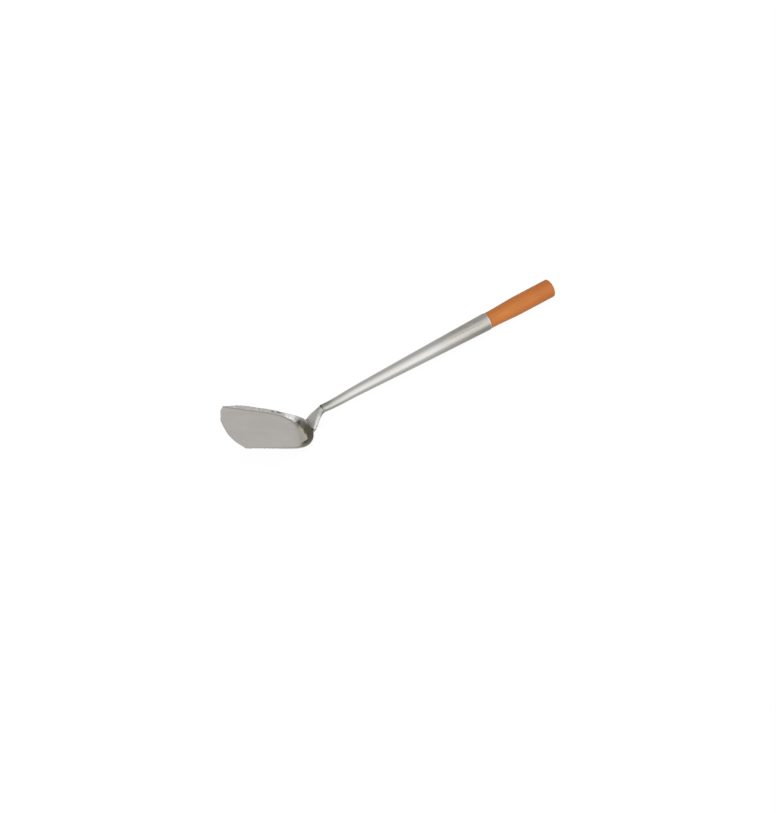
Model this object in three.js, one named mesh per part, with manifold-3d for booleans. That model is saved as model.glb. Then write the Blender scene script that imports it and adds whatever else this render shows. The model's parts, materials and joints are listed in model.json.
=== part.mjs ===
// A wok spatula: a pressed steel blade with an upturned rim, a channel-section neck welded behind its back
// wall, a rolled and tapered steel tube, and a turned wooden grip nailed into the tube's wide end.
// Millimetres, +Z up, +X towards the grip. The mirror plane is XZ.
// The pieces are drawn in the blade's frame: the floor is the plane z = 0, the middle of the floor's back
// edge is the origin, and the front edge lies at -X. The whole tool is then tipped back until it lies on its
// heel and grip.

import * as THREE from 'three';
import { mergeVertices } from 'three/addons/utils/BufferGeometryUtils.js';
import Module from 'manifold-3d';

const wasm = await Module();
wasm.setup();

const degrees = Math.PI / 180;

// Fits
const clearance = 0.3;
const overrun = 2;

// Blade: the plan of its floor
const floorWidth = 109.5;
const floorLength = 96;
const frontBow = 13.8;
const frontFullnessShare = 0.4;
const sideTaper = 7.6 * degrees;
const backRadius = 100;
const backWidth = 25.3;

// Blade: the sheet and its rim, which rises at the front corners, runs even along the sides and grows into
// the back wall
const bladeSheet = 1.2;
const frontEdgeThickness = 0.7;
const frontBevelWidth = 7;
const rimBendRadius = 5;
const rimSlantAtFront = 2.3;
const rimSlantAtSides = 7.5;
const rimSlantAtBack = 12.8;
const rimFlareAtSides = 26 * degrees;
const rimFlareAtBack = 73.3 * degrees;
const sideRimShare = 0.22;
const backWallShare = 0.58;

// Neck: a pressed channel that rises from the back wall and turns into the tube
const neckSheet = 1.5;
const neckLap = 3;
const neckJoggleLength = 2;
const neckFootWidth = 27;
const neckRise = 24.1;
const neckBlendLength = 12;
const neckBendRadius = 7;
const neckEndRadius = 5.2;
const neckLanding = 0.2;
const neckCornerRadius = 2.6;
const neckFootDepth = 5;
const neckEndDepth = 9.5;
const neckLean = 10 * degrees;
const tongueRadius = 4.1;
const tongueFlange = 0.4;
const tongueLength = 28;

// Tube: rolled sheet with a slightly full taper and a butt seam on its underside
const handleAngle = 36.55 * degrees;
const tubeLength = 250.6;
const tubeSmallDiameter = 11;
const tubeLargeDiameter = 23.8;
const tubeFullnessShare = 0.25;
const tubeWall = 1;
const seamGap = 0.4;

// Welds
const neckBeadWidth = 3.2;
const neckBeadHeight = 0.9;
const tubeBeadWidth = 2.2;
const tubeBeadHeight = 0.45;
const tubeBeadSweep = 130 * degrees;
const beadEndShare = 0.3;

// Grip: a spigot in the tube, a slow swell and a softly domed end with a small flat
const gripLength = 100;
const gripNeckDiameter = 22.4;
const gripDiameter = 25.4;
const gripSwellStart = 3;
const gripSwellLength = 45;
const gripDomeRadius = 17;
const gripEdgeRound = 1.5;
const gripEndFlatDiameter = 10;
const spigotLength = 40;
const spigotChamfer = 1.5;

// Nail: under the tube, beside the seam
const nailInset = 14;
const nailTurn = 35 * degrees;
const nailShankDiameter = 2;
const nailLength = 9;
const nailHeadDiameter = 4.6;
const nailHeadHeight = 0.9;

// Smoothness of the curved surfaces. A triangle slimmer than the slimmest share of its length is left out.
const slimmestShare = 1e-7;
const rimStations = 84;
const bendSteps = 4;
const neckCornerSteps = 4;
const neckBendSteps = 8;
const tubeStations = 8;
const roundSteps = 48;
const swellSteps = 12;
const endSteps = 6;
const smallRoundSteps = 16;
const beadSteps = 24;
const beadArcSteps = 6;

const steel = { color: 0xb2ada7, roughness: 0.34, metalness: 1 };
const brightSteel = { color: 0xc6c4be, roughness: 0.26, metalness: 1 };
const weldMetal = { color: 0x7d776e, roughness: 0.5, metalness: 1 };
const wood = { color: 0xc47b3e, roughness: 0.55, metalness: 0 };
const nailSteel = { color: 0x9b9890, roughness: 0.4, metalness: 1 };

function smoothStep(share) {
  const s = Math.min(Math.max(share, 0), 1);
  return s * s * (3 - 2 * s);
}

function mix(from, to, share) {
  return from + (to - from) * share;
}

// Joins triangles into a BufferGeometry and leaves out those that have shrunk to a line.
function geometryFromTriangles(triangles) {
  const positions = [];
  for (const [a, b, c] of triangles) {
    const twiceArea = b.clone().sub(a).cross(c.clone().sub(a)).length();
    const longest = Math.max(a.distanceTo(b), b.distanceTo(c), c.distanceTo(a));
    if (twiceArea > longest * longest * slimmestShare) {
      positions.push(...a.toArray(), ...b.toArray(), ...c.toArray());
    }
  }
  const geometry = new THREE.BufferGeometry();
  geometry.setAttribute('position', new THREE.Float32BufferAttribute(positions, 3));
  const merged = mergeVertices(geometry);
  merged.computeVertexNormals();
  return merged;
}

function quad(triangles, a, b, c, d) {
  triangles.push([a, b, c], [a, c, d]);
}

// A body of bent sheet. Each row is one section across the sheet, a list of [front, back] pairs of points.
// Seen from the front, the rows go up and the pairs go from left to right.
function sheetBody(rows) {
  const triangles = [];
  const last = rows[0].length - 1;
  for (let i = 0; i < rows.length - 1; i += 1) {
    const low = rows[i];
    const high = rows[i + 1];
    for (let j = 0; j < last; j += 1) {
      quad(triangles, low[j][0], low[j + 1][0], high[j + 1][0], high[j][0]);
      quad(triangles, low[j][1], high[j][1], high[j + 1][1], low[j + 1][1]);
    }
    quad(triangles, low[0][0], high[0][0], high[0][1], low[0][1]);
    quad(triangles, low[last][0], low[last][1], high[last][1], high[last][0]);
  }
  const bottom = rows[0];
  const top = rows[rows.length - 1];
  for (let j = 0; j < last; j += 1) {
    quad(triangles, bottom[j][0], bottom[j][1], bottom[j + 1][1], bottom[j + 1][0]);
    quad(triangles, top[j][0], top[j + 1][0], top[j + 1][1], top[j][1]);
  }
  return geometryFromTriangles(triangles);
}

// A turned body about the X axis, from [x, radius] pairs that start and end on the axis.
function turned(profile, steps) {
  const points = profile.map(([x, radius]) => new THREE.Vector2(radius, x));
  return new THREE.LatheGeometry(points, steps).rotateZ(-Math.PI / 2);
}

function toSolid(geometry) {
  const bare = geometry.clone();
  bare.deleteAttribute('normal');
  bare.deleteAttribute('uv');
  const merged = mergeVertices(bare);
  const index = merged.index.array;
  const kept = [];
  for (let i = 0; i < index.length; i += 3) {
    const [a, b, c] = [index[i], index[i + 1], index[i + 2]];
    if (a !== b && b !== c && c !== a) {
      kept.push(a, b, c);
    }
  }
  return new wasm.Manifold(new wasm.Mesh({
    numProp: 3,
    vertProperties: new Float32Array(merged.attributes.position.array),
    triVerts: new Uint32Array(kept),
  }));
}

function fromSolid(solid) {
  const mesh = solid.getMesh();
  const geometry = new THREE.BufferGeometry();
  geometry.setAttribute('position', new THREE.Float32BufferAttribute(mesh.vertProperties, 3));
  geometry.setIndex(new THREE.Uint32BufferAttribute(mesh.triVerts, 1));
  geometry.computeVertexNormals();
  return geometry;
}

function named(name, geometry, look) {
  const mesh = new THREE.Mesh(geometry, new THREE.MeshStandardMaterial(look));
  mesh.name = name;
  return mesh;
}

// The crease is the plan line where the floor turns up into the rim. Half of it is a straight side, a corner
// arc, and one half of the shallow arc across the back. The corner arc touches the other two.
function solveCrease() {
  const along = new THREE.Vector2(Math.cos(sideTaper), -Math.sin(sideTaper));
  const outward = new THREE.Vector2(Math.sin(sideTaper), Math.cos(sideTaper));
  const start = new THREE.Vector2(-floorLength, floorWidth / 2);
  const backCentre = new THREE.Vector2(-backRadius, 0);
  const cornerStart = Math.PI / 2 - sideTaper;
  const cornerEnd = Math.asin(backWidth / 2 / backRadius);
  const toCorner = new THREE.Vector2(Math.cos(cornerEnd), Math.sin(cornerEnd));
  const turn = toCorner.dot(outward);
  const sideReach = start.clone().sub(backCentre).dot(outward);
  const cornerRadius = (sideReach - backRadius * turn) / (1 - turn);
  const cornerCentre = backCentre.clone().addScaledVector(toCorner, backRadius - cornerRadius);
  const sideLength = cornerCentre.clone().sub(start).dot(along);
  const cornerLength = cornerRadius * (cornerStart - cornerEnd);
  const backLength = backRadius * cornerEnd;
  return {
    along, outward, start, backCentre, cornerCentre, cornerRadius, cornerStart, sideLength, cornerLength,
    halfLength: sideLength + cornerLength + backLength,
  };
}

const crease = solveCrease();

// A station on the crease: share 0 is a front corner and share 1 the middle of the back.
// side is 1 for the half at +Y and -1 for the half at -Y.
function creaseStation(share, side) {
  const distance = share * crease.halfLength;
  let point;
  let out;
  if (distance <= crease.sideLength) {
    out = crease.outward.clone();
    point = crease.start.clone().addScaledVector(crease.along, distance);
  } else if (distance <= crease.sideLength + crease.cornerLength) {
    const angle = crease.cornerStart - (distance - crease.sideLength) / crease.cornerRadius;
    out = new THREE.Vector2(Math.cos(angle), Math.sin(angle));
    point = crease.cornerCentre.clone().addScaledVector(out, crease.cornerRadius);
  } else {
    const angle = (crease.halfLength - distance) / backRadius;
    out = new THREE.Vector2(Math.cos(angle), Math.sin(angle));
    point = crease.backCentre.clone().addScaledVector(out, backRadius);
  }
  const sideRim = smoothStep(share / sideRimShare);
  const backWall = smoothStep((share - backWallShare) / (1 - backWallShare));
  return {
    point: new THREE.Vector2(point.x, point.y * side),
    out: new THREE.Vector2(out.x, out.y * side),
    slant: mix(mix(rimSlantAtFront, rimSlantAtSides, sideRim), rimSlantAtBack, backWall),
    flare: mix(rimFlareAtSides, rimFlareAtBack, backWall),
  };
}

// A point beside a station: outward in plan from the crease, and up.
function besideCrease(station, outward, up) {
  const plan = station.point.clone().addScaledVector(station.out, outward);
  return new THREE.Vector3(plan.x, plan.y, up);
}

// A point of the rim: distance up its slope from the crease, and depth behind its inner face.
function rimPoint(station, distance, depth) {
  const outward = distance * Math.cos(station.flare) + depth * Math.sin(station.flare);
  const up = distance * Math.sin(station.flare) - depth * Math.cos(station.flare);
  return besideCrease(station, outward, up);
}

// The two faces of the sheet where it bends up, from the floor to the straight part of the rim.
function bendPairs(station) {
  const tangent = rimBendRadius * Math.tan(station.flare / 2);
  const pairs = [];
  for (let k = 0; k <= bendSteps; k += 1) {
    const angle = station.flare * k / bendSteps;
    const pair = [rimBendRadius, rimBendRadius + bladeSheet].map((radius) => besideCrease(
      station,
      radius * Math.sin(angle) - tangent,
      rimBendRadius - radius * Math.cos(angle),
    ));
    pairs.push(pair);
  }
  return pairs;
}

// The curved front edge, between the two front ends of the bend. It is straighter in the middle than an arc,
// and fuller towards its corners.
function frontEdgePoint(corner, share) {
  const across = 2 * share - 1;
  const bow = frontBow * (1 - mix(across ** 2, across ** 4, frontFullnessShare));
  return new THREE.Vector3(corner.x - bow, Math.abs(corner.y) * across, 0);
}

// One section of the blade: from the front edge across the floor, round the bend and up the rim.
function bladeSection(share) {
  const side = share < 0.5 ? -1 : 1;
  const station = creaseStation(1 - Math.abs(2 * share - 1), side);
  const corner = bendPairs(creaseStation(0, side))[0][0];
  const edge = frontEdgePoint(corner, share);
  const bend = bendPairs(station);
  const floor = bend[0][0].clone().sub(edge);
  const bevel = Math.min(frontBevelWidth, floor.length() / 2);
  const bevelShare = bevel / frontBevelWidth;
  const bevelEnd = edge.clone().add(floor.clone().setLength(bevel));
  const below = new THREE.Vector3(0, 0, -1);
  const edgeThickness = mix(bladeSheet, frontEdgeThickness, bevelShare);
  return [
    [edge, edge.clone().addScaledVector(below, edgeThickness)],
    [bevelEnd, bevelEnd.clone().addScaledVector(below, bladeSheet)],
    ...bend,
    [rimPoint(station, station.slant, 0), rimPoint(station, station.slant, bladeSheet)],
  ];
}

function makeBlade() {
  const rows = [];
  for (let i = 0; i <= rimStations; i += 1) {
    rows.push(bladeSection(i / rimStations));
  }
  return named('blade', sheetBody(rows), steel);
}

// The neck's face line in the XZ plane: straight on from the back wall, round the bend, and along the tube.
const bendAngle = rimFlareAtBack - handleAngle;
const bendLength = neckBendRadius * bendAngle;
const neckLength = neckRise + bendLength + neckLanding;

function faceFrame(distance) {
  const wallTop = new THREE.Vector2(Math.cos(rimFlareAtBack), Math.sin(rimFlareAtBack))
    .multiplyScalar(rimSlantAtBack);
  const onBend = Math.min(Math.max(distance - neckRise, 0), bendLength);
  const slope = rimFlareAtBack - onBend / neckBendRadius;
  const behind = (angle) => new THREE.Vector2(Math.sin(angle), -Math.cos(angle));
  const forward = (angle) => new THREE.Vector2(Math.cos(angle), Math.sin(angle));
  const origin = wallTop.clone()
    .addScaledVector(forward(rimFlareAtBack), Math.min(distance, neckRise))
    .addScaledVector(behind(rimFlareAtBack), neckBendRadius)
    .addScaledVector(behind(slope), -neckBendRadius)
    .addScaledVector(forward(slope), Math.max(distance - neckRise - bendLength, 0));
  return { origin, behind: behind(slope) };
}

// The neck's channel section as [front, back] pairs of (across, depth): a flange, a corner, the face, and
// the same again on the other side. The flanges lean inwards by an angle.
function channelSection({ halfWidth, cornerRadius, depth, crown, lean }) {
  const half = [];
  for (let k = 0; k <= neckCornerSteps; k += 1) {
    const angle = mix(-lean, Math.PI / 2, k / neckCornerSteps);
    const pair = [cornerRadius, cornerRadius - neckSheet].map((radius) => [
      halfWidth - cornerRadius + radius * Math.cos(angle),
      crown + cornerRadius - radius * Math.sin(angle),
    ]);
    half.push(pair);
  }
  const flangeEnd = half[0].map(([across, down]) => [across - (depth - down) * Math.tan(lean), depth]);
  half.unshift(flangeEnd);
  const mirrored = half.map((pair) => pair.map(([across, down]) => [-across, down])).reverse();
  const middle = [[0, crown], [0, crown + neckSheet]];
  return [...half, middle, ...mirrored];
}

// How far the neck's face lies behind the wall's inner face: the lap, and nothing above the joggle.
function lapOffset(distance) {
  return mix(bladeSheet + clearance, 0, smoothStep((distance - clearance) / neckJoggleLength));
}

// Places a neck section at a distance above the back wall's top edge. Near the blade it follows the curved
// wall, and further up it lies square to the face line.
function placeNeckSection(section, distance) {
  const frame = faceFrame(distance);
  const blend = smoothStep((distance - clearance) / neckBlendLength);
  return section.map((pair) => pair.map(([across, depth]) => {
    const station = creaseStation(1 - Math.abs(across) / crease.halfLength, Math.sign(across) || 1);
    const onWall = rimPoint(station, station.slant + distance, depth + lapOffset(distance));
    const plane = frame.origin.clone().addScaledVector(frame.behind, depth);
    return onWall.lerp(new THREE.Vector3(plane.x, across, plane.y), blend);
  }));
}

function makeNeck() {
  const rows = [];
  const addRow = (distance, section) => {
    rows.push(placeNeckSection(channelSection(section), distance));
  };
  const addNeckRow = (distance) => {
    const share = Math.max(distance, 0) / neckLength;
    const taper = (1 - Math.cos(Math.PI * share)) / 2;
    const roundShare = smoothStep(share);
    addRow(distance, {
      halfWidth: mix(neckFootWidth / 2, neckEndRadius, taper),
      cornerRadius: mix(neckCornerRadius, neckEndRadius, roundShare),
      depth: mix(neckFootDepth, neckEndDepth, share * share) - lapOffset(distance),
      crown: 0,
      lean: neckLean * roundShare,
    });
  };
  addNeckRow(-neckLap);
  addNeckRow(-neckLap / 2);
  for (let k = 0; k <= neckCornerSteps; k += 1) {
    addNeckRow(clearance + neckJoggleLength * k / neckCornerSteps);
  }
  const straightStart = clearance + neckJoggleLength;
  for (let k = 1; k <= neckBendSteps; k += 1) {
    addNeckRow(mix(straightStart, neckRise, k / neckBendSteps));
  }
  for (let k = 1; k <= neckBendSteps; k += 1) {
    addNeckRow(neckRise + bendLength * k / neckBendSteps);
  }
  addNeckRow(neckLength - clearance);
  const tongue = {
    halfWidth: tongueRadius,
    cornerRadius: tongueRadius,
    depth: neckEndRadius + tongueFlange,
    crown: neckEndRadius - tongueRadius,
    lean: 0,
  };
  addRow(neckLength, tongue);
  addRow(neckLength + tongueLength, tongue);
  return named('neck', sheetBody(rows), steel);
}

// A weld bead: a low arc over a flat base. place(along, across, height) puts a point on the joint that it
// covers.
function bead(width, height, place) {
  const rows = [];
  for (let i = 0; i <= beadSteps; i += 1) {
    const along = 2 * i / beadSteps - 1;
    const fullness = Math.max(Math.sqrt(1 - along ** 4), beadEndShare);
    const row = [];
    for (let k = 0; k <= beadArcSteps; k += 1) {
      const angle = Math.PI * k / beadArcSteps;
      const across = fullness * Math.cos(angle) * width / 2;
      row.push([place(along, across, fullness * height * Math.sin(angle)), place(along, across, 0)]);
    }
    rows.push(row);
  }
  return sheetBody(rows);
}

// Covers the joint between the back wall's top edge and the neck's face.
function makeNeckWeld() {
  const halfLength = neckFootWidth / 2 - neckCornerRadius / 2;
  const seam = clearance + neckJoggleLength / 2;
  const place = (along, across, height) => {
    const lateral = along * halfLength;
    const station = creaseStation(1 - Math.abs(lateral) / crease.halfLength, Math.sign(lateral) || 1);
    return rimPoint(station, station.slant + seam - across, -clearance - height);
  };
  return named('neck_weld', bead(neckBeadWidth, neckBeadHeight, place), weldMetal);
}

// Handle pieces are drawn with +X along the tube, +Z towards its crown and X = 0 at the neck's shoulder.
const tubeStart = clearance;
const tubeEnd = tubeStart + tubeLength;

function tubeRadius(x) {
  const share = (x - tubeStart) / tubeLength;
  const fullness = tubeFullnessShare * share * (1 - share);
  return mix(tubeSmallDiameter, tubeLargeDiameter, share + fullness) / 2;
}

// A ring of points round the tube axis, from one edge of the seam to the other.
function seamedRing(x, radius) {
  const seamAngle = Math.asin(seamGap / 2 / radius);
  const ring = [];
  for (let k = 0; k <= roundSteps; k += 1) {
    const angle = mix(seamAngle, 2 * Math.PI - seamAngle, k / roundSteps);
    ring.push(new THREE.Vector3(x, radius * Math.sin(angle), -radius * Math.cos(angle)));
  }
  return ring;
}

function tubeSection(x) {
  const outer = seamedRing(x, tubeRadius(x));
  const inner = seamedRing(x, tubeRadius(x) - tubeWall);
  return outer.map((point, k) => [point, inner[k]]);
}

// The nail's axis points out of the tube, turned from the underside towards +Y.
const nailDirection = new THREE.Vector3(0, Math.sin(nailTurn), -Math.cos(nailTurn));
const nailSeat = new THREE.Vector3(tubeEnd - nailInset, 0, 0)
  .addScaledVector(nailDirection, tubeRadius(tubeEnd - nailInset) + clearance);

function placeOnNail(object) {
  object.quaternion.setFromUnitVectors(new THREE.Vector3(1, 0, 0), nailDirection);
  object.position.copy(nailSeat);
  object.updateMatrix();
  return object;
}

function nailHole() {
  const radius = nailShankDiameter / 2 + clearance;
  const bottom = -nailLength - clearance;
  const profile = [[bottom, 0], [bottom, radius], [overrun, radius], [overrun, 0]];
  const hole = placeOnNail(new THREE.Object3D());
  return toSolid(turned(profile, smallRoundSteps).applyMatrix4(hole.matrix));
}

function makeHandleTube() {
  const rows = [];
  for (let i = 0; i <= tubeStations; i += 1) {
    rows.push(tubeSection(mix(tubeStart, tubeEnd, i / tubeStations)));
  }
  return named('handle_tube', fromSolid(toSolid(sheetBody(rows)).subtract(nailHole())), brightSteel);
}

// Covers the joint between the neck's shoulder and the tube's small end, over the crown side.
function makeTubeWeld() {
  const base = tubeSmallDiameter / 2 + clearance;
  const place = (along, across, height) => {
    const angle = along * tubeBeadSweep / 2;
    const radius = base + height;
    return new THREE.Vector3(clearance / 2 - across, radius * Math.sin(angle), radius * Math.cos(angle));
  };
  return named('tube_weld', bead(tubeBeadWidth, tubeBeadHeight, place), weldMetal);
}

// The grip's end as [x, radius] pairs: the rounded edge, then the dome up to its small flat.
function gripEndProfile(end) {
  const flatAngle = Math.asin(gripEndFlatDiameter / 2 / gripDomeRadius);
  const domeCentre = end - gripDomeRadius * Math.cos(flatAngle);
  const edgeReach = gripDomeRadius - gripEdgeRound;
  const edgeCentreRadius = gripDiameter / 2 - gripEdgeRound;
  const edgeAngle = Math.asin(edgeCentreRadius / edgeReach);
  const edgeCentre = domeCentre + edgeReach * Math.cos(edgeAngle);
  const profile = [];
  for (let k = 0; k <= endSteps; k += 1) {
    const angle = mix(Math.PI / 2, edgeAngle, k / endSteps);
    const radius = edgeCentreRadius + gripEdgeRound * Math.sin(angle);
    profile.push([edgeCentre + gripEdgeRound * Math.cos(angle), radius]);
  }
  for (let k = 1; k <= endSteps; k += 1) {
    const angle = mix(edgeAngle, flatAngle, k / endSteps);
    profile.push([domeCentre + gripDomeRadius * Math.cos(angle), gripDomeRadius * Math.sin(angle)]);
  }
  return profile;
}

function makeWoodGrip() {
  const start = tubeEnd + clearance;
  const end = start + gripLength;
  const spigotStart = tubeEnd - spigotLength;
  const spigotRadius = (x) => tubeRadius(x) - tubeWall - clearance;
  const profile = [
    [spigotStart, 0],
    [spigotStart, spigotRadius(spigotStart) - spigotChamfer],
    [spigotStart + spigotChamfer, spigotRadius(spigotStart + spigotChamfer)],
    [start, spigotRadius(tubeEnd)],
    [start, gripNeckDiameter / 2],
  ];
  for (let k = 0; k <= swellSteps; k += 1) {
    const share = k / swellSteps;
    const diameter = mix(gripNeckDiameter, gripDiameter, smoothStep(share));
    profile.push([start + gripSwellStart + gripSwellLength * share, diameter / 2]);
  }
  profile.push(...gripEndProfile(end), [end, 0]);
  const grip = toSolid(turned(profile, roundSteps));
  return named('wood_grip', fromSolid(grip.subtract(nailHole())), wood);
}

function makeGripNail() {
  const shank = nailShankDiameter / 2;
  const profile = [[-nailLength, 0], [-nailLength + nailShankDiameter, shank], [0, shank]];
  for (let k = 0; k <= endSteps; k += 1) {
    const angle = Math.PI / 2 * k / endSteps;
    profile.push([nailHeadHeight * Math.sin(angle), nailHeadDiameter / 2 * Math.cos(angle)]);
  }
  return placeOnNail(named('grip_nail', turned(profile, smallRoundSteps), nailSteel));
}

function makeHandle() {
  const handle = new THREE.Group();
  handle.add(makeHandleTube(), makeTubeWeld(), makeWoodGrip(), makeGripNail());
  const shoulder = faceFrame(neckLength);
  const axis = shoulder.origin.clone().addScaledVector(shoulder.behind, neckEndRadius);
  handle.position.set(axis.x, 0, axis.y);
  handle.rotation.y = -handleAngle;
  return handle;
}

// The points of a group in the XZ plane, sorted along X.
function sidePoints(group) {
  const points = [];
  group.updateMatrixWorld(true);
  group.traverse((object) => {
    if (object.isMesh) {
      const position = object.geometry.attributes.position;
      for (let i = 0; i < position.count; i += 1) {
        const point = new THREE.Vector3().fromBufferAttribute(position, i).applyMatrix4(object.matrixWorld);
        points.push(new THREE.Vector2(point.x, point.z));
      }
    }
  });
  return points.sort((a, b) => a.x - b.x);
}

// How steeply the line under the tool rises: the edge of its lower outline that spans the balance point.
function restingSlope(group, balanceX) {
  const hull = [];
  for (const point of sidePoints(group)) {
    while (hull.length > 1) {
      const before = hull[hull.length - 2];
      const corner = hull[hull.length - 1];
      if (corner.clone().sub(before).cross(point.clone().sub(before)) > 0) {
        break;
      }
      hull.pop();
    }
    hull.push(point);
  }
  const k = hull.findIndex((point) => point.x > balanceX);
  return hull[k].clone().sub(hull[k - 1]).angle();
}

function assemble() {
  const tool = new THREE.Group();
  const handle = makeHandle();
  tool.add(makeBlade(), makeNeck(), makeNeckWeld(), handle);
  const middleOfTube = handle.position.x + Math.cos(handleAngle) * tubeLength / 2;
  tool.rotation.y = restingSlope(tool, middleOfTube);
  const box = new THREE.Box3().setFromObject(tool, true);
  tool.position.set(-(box.min.x + box.max.x) / 2, -(box.min.y + box.max.y) / 2, -box.min.z);
  return tool;
}

export default assemble();
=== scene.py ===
# %% [markdown]
# # A wok spatula, dressed for its photograph
#
# The real tool is a rigid wok spatula: a shallow pressed blade, a short steep neck, a long rolled tube and a
# turned wooden grip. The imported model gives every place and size, but it is plain and faceted. It could be
# smoothed with a modifier, but that rounds off the crisp bends of sheet metal. So each piece is drawn again
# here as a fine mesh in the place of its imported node, from the same few lengths, and then gets its finish.

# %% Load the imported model
import json
import math
from types import SimpleNamespace

import bmesh
import bpy
from mathutils import Matrix, Vector, noise


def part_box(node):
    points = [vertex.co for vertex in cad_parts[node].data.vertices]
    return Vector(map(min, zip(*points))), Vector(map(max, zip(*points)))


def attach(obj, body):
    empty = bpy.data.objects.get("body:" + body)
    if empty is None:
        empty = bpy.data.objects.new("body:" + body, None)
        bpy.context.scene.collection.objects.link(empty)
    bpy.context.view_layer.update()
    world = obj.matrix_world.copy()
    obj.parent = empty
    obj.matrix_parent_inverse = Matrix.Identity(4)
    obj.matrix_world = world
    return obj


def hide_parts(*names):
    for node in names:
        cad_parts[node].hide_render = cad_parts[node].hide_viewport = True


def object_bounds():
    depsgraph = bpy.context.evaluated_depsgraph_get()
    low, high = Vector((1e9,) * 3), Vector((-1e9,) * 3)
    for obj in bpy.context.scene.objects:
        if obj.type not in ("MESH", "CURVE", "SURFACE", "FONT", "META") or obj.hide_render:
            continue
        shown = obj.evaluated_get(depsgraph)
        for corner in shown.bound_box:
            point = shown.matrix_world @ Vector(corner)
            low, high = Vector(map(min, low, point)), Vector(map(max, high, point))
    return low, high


MM = 0.001
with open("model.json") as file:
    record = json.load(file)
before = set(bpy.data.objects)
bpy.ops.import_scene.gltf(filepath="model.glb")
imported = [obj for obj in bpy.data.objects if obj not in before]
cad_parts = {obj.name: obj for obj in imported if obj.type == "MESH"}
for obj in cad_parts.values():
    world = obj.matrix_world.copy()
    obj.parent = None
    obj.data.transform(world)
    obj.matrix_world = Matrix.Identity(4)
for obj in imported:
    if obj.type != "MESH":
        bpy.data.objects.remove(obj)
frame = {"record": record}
packed_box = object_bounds()
print("packed box in mm:", [round((high - low) / MM, 1) for low, high in zip(*packed_box)])
for material in frame["record"]["materials"]:
    print("slot", material["slot"], "-", material["finish"])

# %% [markdown]
# ## The camera
#
# The photograph was taken from the side and from above, with the picture turned so that the handle climbs
# to the right. A camera is placed by a position, a point that it aims at and a roll about its own line of
# sight. These three and the lens were worked out from the blade's plan and the straight handle.

# %% Place the camera
camera_place = Vector((-237.65, -1169.51, 808.58)) * MM
camera_aim = Vector((-38.08, -26.89, -10.56)) * MM
camera_roll = math.radians(-23.12)

camera = bpy.data.objects.new("photo_camera", bpy.data.cameras.new("photo_camera"))
bpy.context.scene.collection.objects.link(camera)
camera.data.lens = 48.31
camera.data.sensor_width = 36
camera.location = camera_place
level = (camera_aim - camera_place).to_track_quat("-Z", "Y").to_matrix()
camera.rotation_euler = (level @ Matrix.Rotation(camera_roll, 3, "Z")).to_euler()
bpy.context.scene.camera = camera
print("camera is", round((camera_aim - camera_place).length, 3), "m from its aim")

# %% [markdown]
# ## Sheet metal as pairs of points
#
# Blade, neck and tube are all bent sheet. A Solidify modifier could thicken a single skin, but where rows of
# points run together in a corner it makes knots. Here the sheet is a grid of pairs instead, one point on
# each face. Towards a cut edge the two points of a pair come together along a quarter circle, so the edge
# is rounded, as it is when it has been tumbled smooth, and the two faces close on each other.

# %% Helpers for bent sheet
def mix(start, end, share):
    return start + (end - start) * share


def smooth_step(share):
    held = min(max(share, 0.0), 1.0)
    return held * held * (3 - 2 * held)


def hump(value, start, full, leaving, end):
    """Rises softly from 0 to 1 between start and full, and falls back to 0 between leaving and end."""
    return smooth_step((value - start) / (full - start)) * smooth_step((end - value) / (end - leaving))


def rounded_edge(radius, steps=4):
    """Distances from a cut edge, with how full the sheet is there."""
    angles = [math.pi / 2 * k / steps for k in range(steps + 1)]
    return [(radius * (1 - math.cos(a)), math.sin(a)) for a in angles]


def thinned(pair, fullness):
    """Brings the two faces of a sheet closer to its middle."""
    front, back = pair
    middle = (front + back) / 2
    return middle + (front - middle) * fullness, middle + (back - middle) * fullness


def sheet_faces(rows):
    """Points and faces of a sheet, from rows of (front, back) pairs."""
    width = len(rows[0])
    points = [pair[0] for row in rows for pair in row] + [pair[1] for row in rows for pair in row]
    half = len(points) // 2
    faces = []
    for i in range(len(rows) - 1):
        for j in range(width - 1):
            a = i * width + j
            corners = (a, a + 1, a + 1 + width, a + width)
            faces.append(corners)
            faces.append(tuple(half + corner for corner in reversed(corners)))
    return points, faces


print("rounded edge of 0.6 mm:", [(round(d, 2), round(f, 2)) for d, f in rounded_edge(0.6)])

# %% [markdown]
# ## From points to a piece
#
# Every piece is made the same way: points in millimetres become a mesh in metres, doubled points are glued,
# and a matrix puts the mesh in its place. The matrix could be given to the object instead, but the packed
# nodes carry their place in their mesh too, and boxes are then easy to compare. A finely drawn curve can
# bulge a few hundredths of a millimetre past its faceted node, so points outside the imported box are held at
# its side. The piece then rides on the tool's one body and takes the place of its imported node, which is
# hidden.

# %% Helpers that make a piece
GLUE_DISTANCE = 1e-6
NO_LENGTH = 1e-7
SHARP_FROM = math.radians(50)


def glue_points(mesh):
    shape = bmesh.new()
    shape.from_mesh(mesh)
    bmesh.ops.remove_doubles(shape, verts=shape.verts, dist=GLUE_DISTANCE)
    bmesh.ops.dissolve_degenerate(shape, edges=shape.edges, dist=NO_LENGTH)
    bmesh.ops.recalc_face_normals(shape, faces=shape.faces)
    shape.to_mesh(mesh)
    shape.free()


def hold_inside(mesh, low, high):
    """Moves points that lie outside a box to its side, and gives the longest move."""
    longest = 0
    for vertex in mesh.vertices:
        held = Vector(min(max(vertex.co[k], low[k]), high[k]) for k in range(3))
        longest = max(longest, (held - vertex.co).length)
        vertex.co = held
    return longest


def compare_with_node(mesh, node):
    """Prints how far the piece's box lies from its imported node's box, in millimetres."""
    low = [min(vertex.co[k] for vertex in mesh.vertices) for k in range(3)]
    high = [max(vertex.co[k] for vertex in mesh.vertices) for k in range(3)]
    node_low, node_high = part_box(node)
    print("  low side", [round((a - b) / MM, 2) for a, b in zip(low, node_low)],
          "high side", [round((a - b) / MM, 2) for a, b in zip(high, node_high)])


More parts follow.
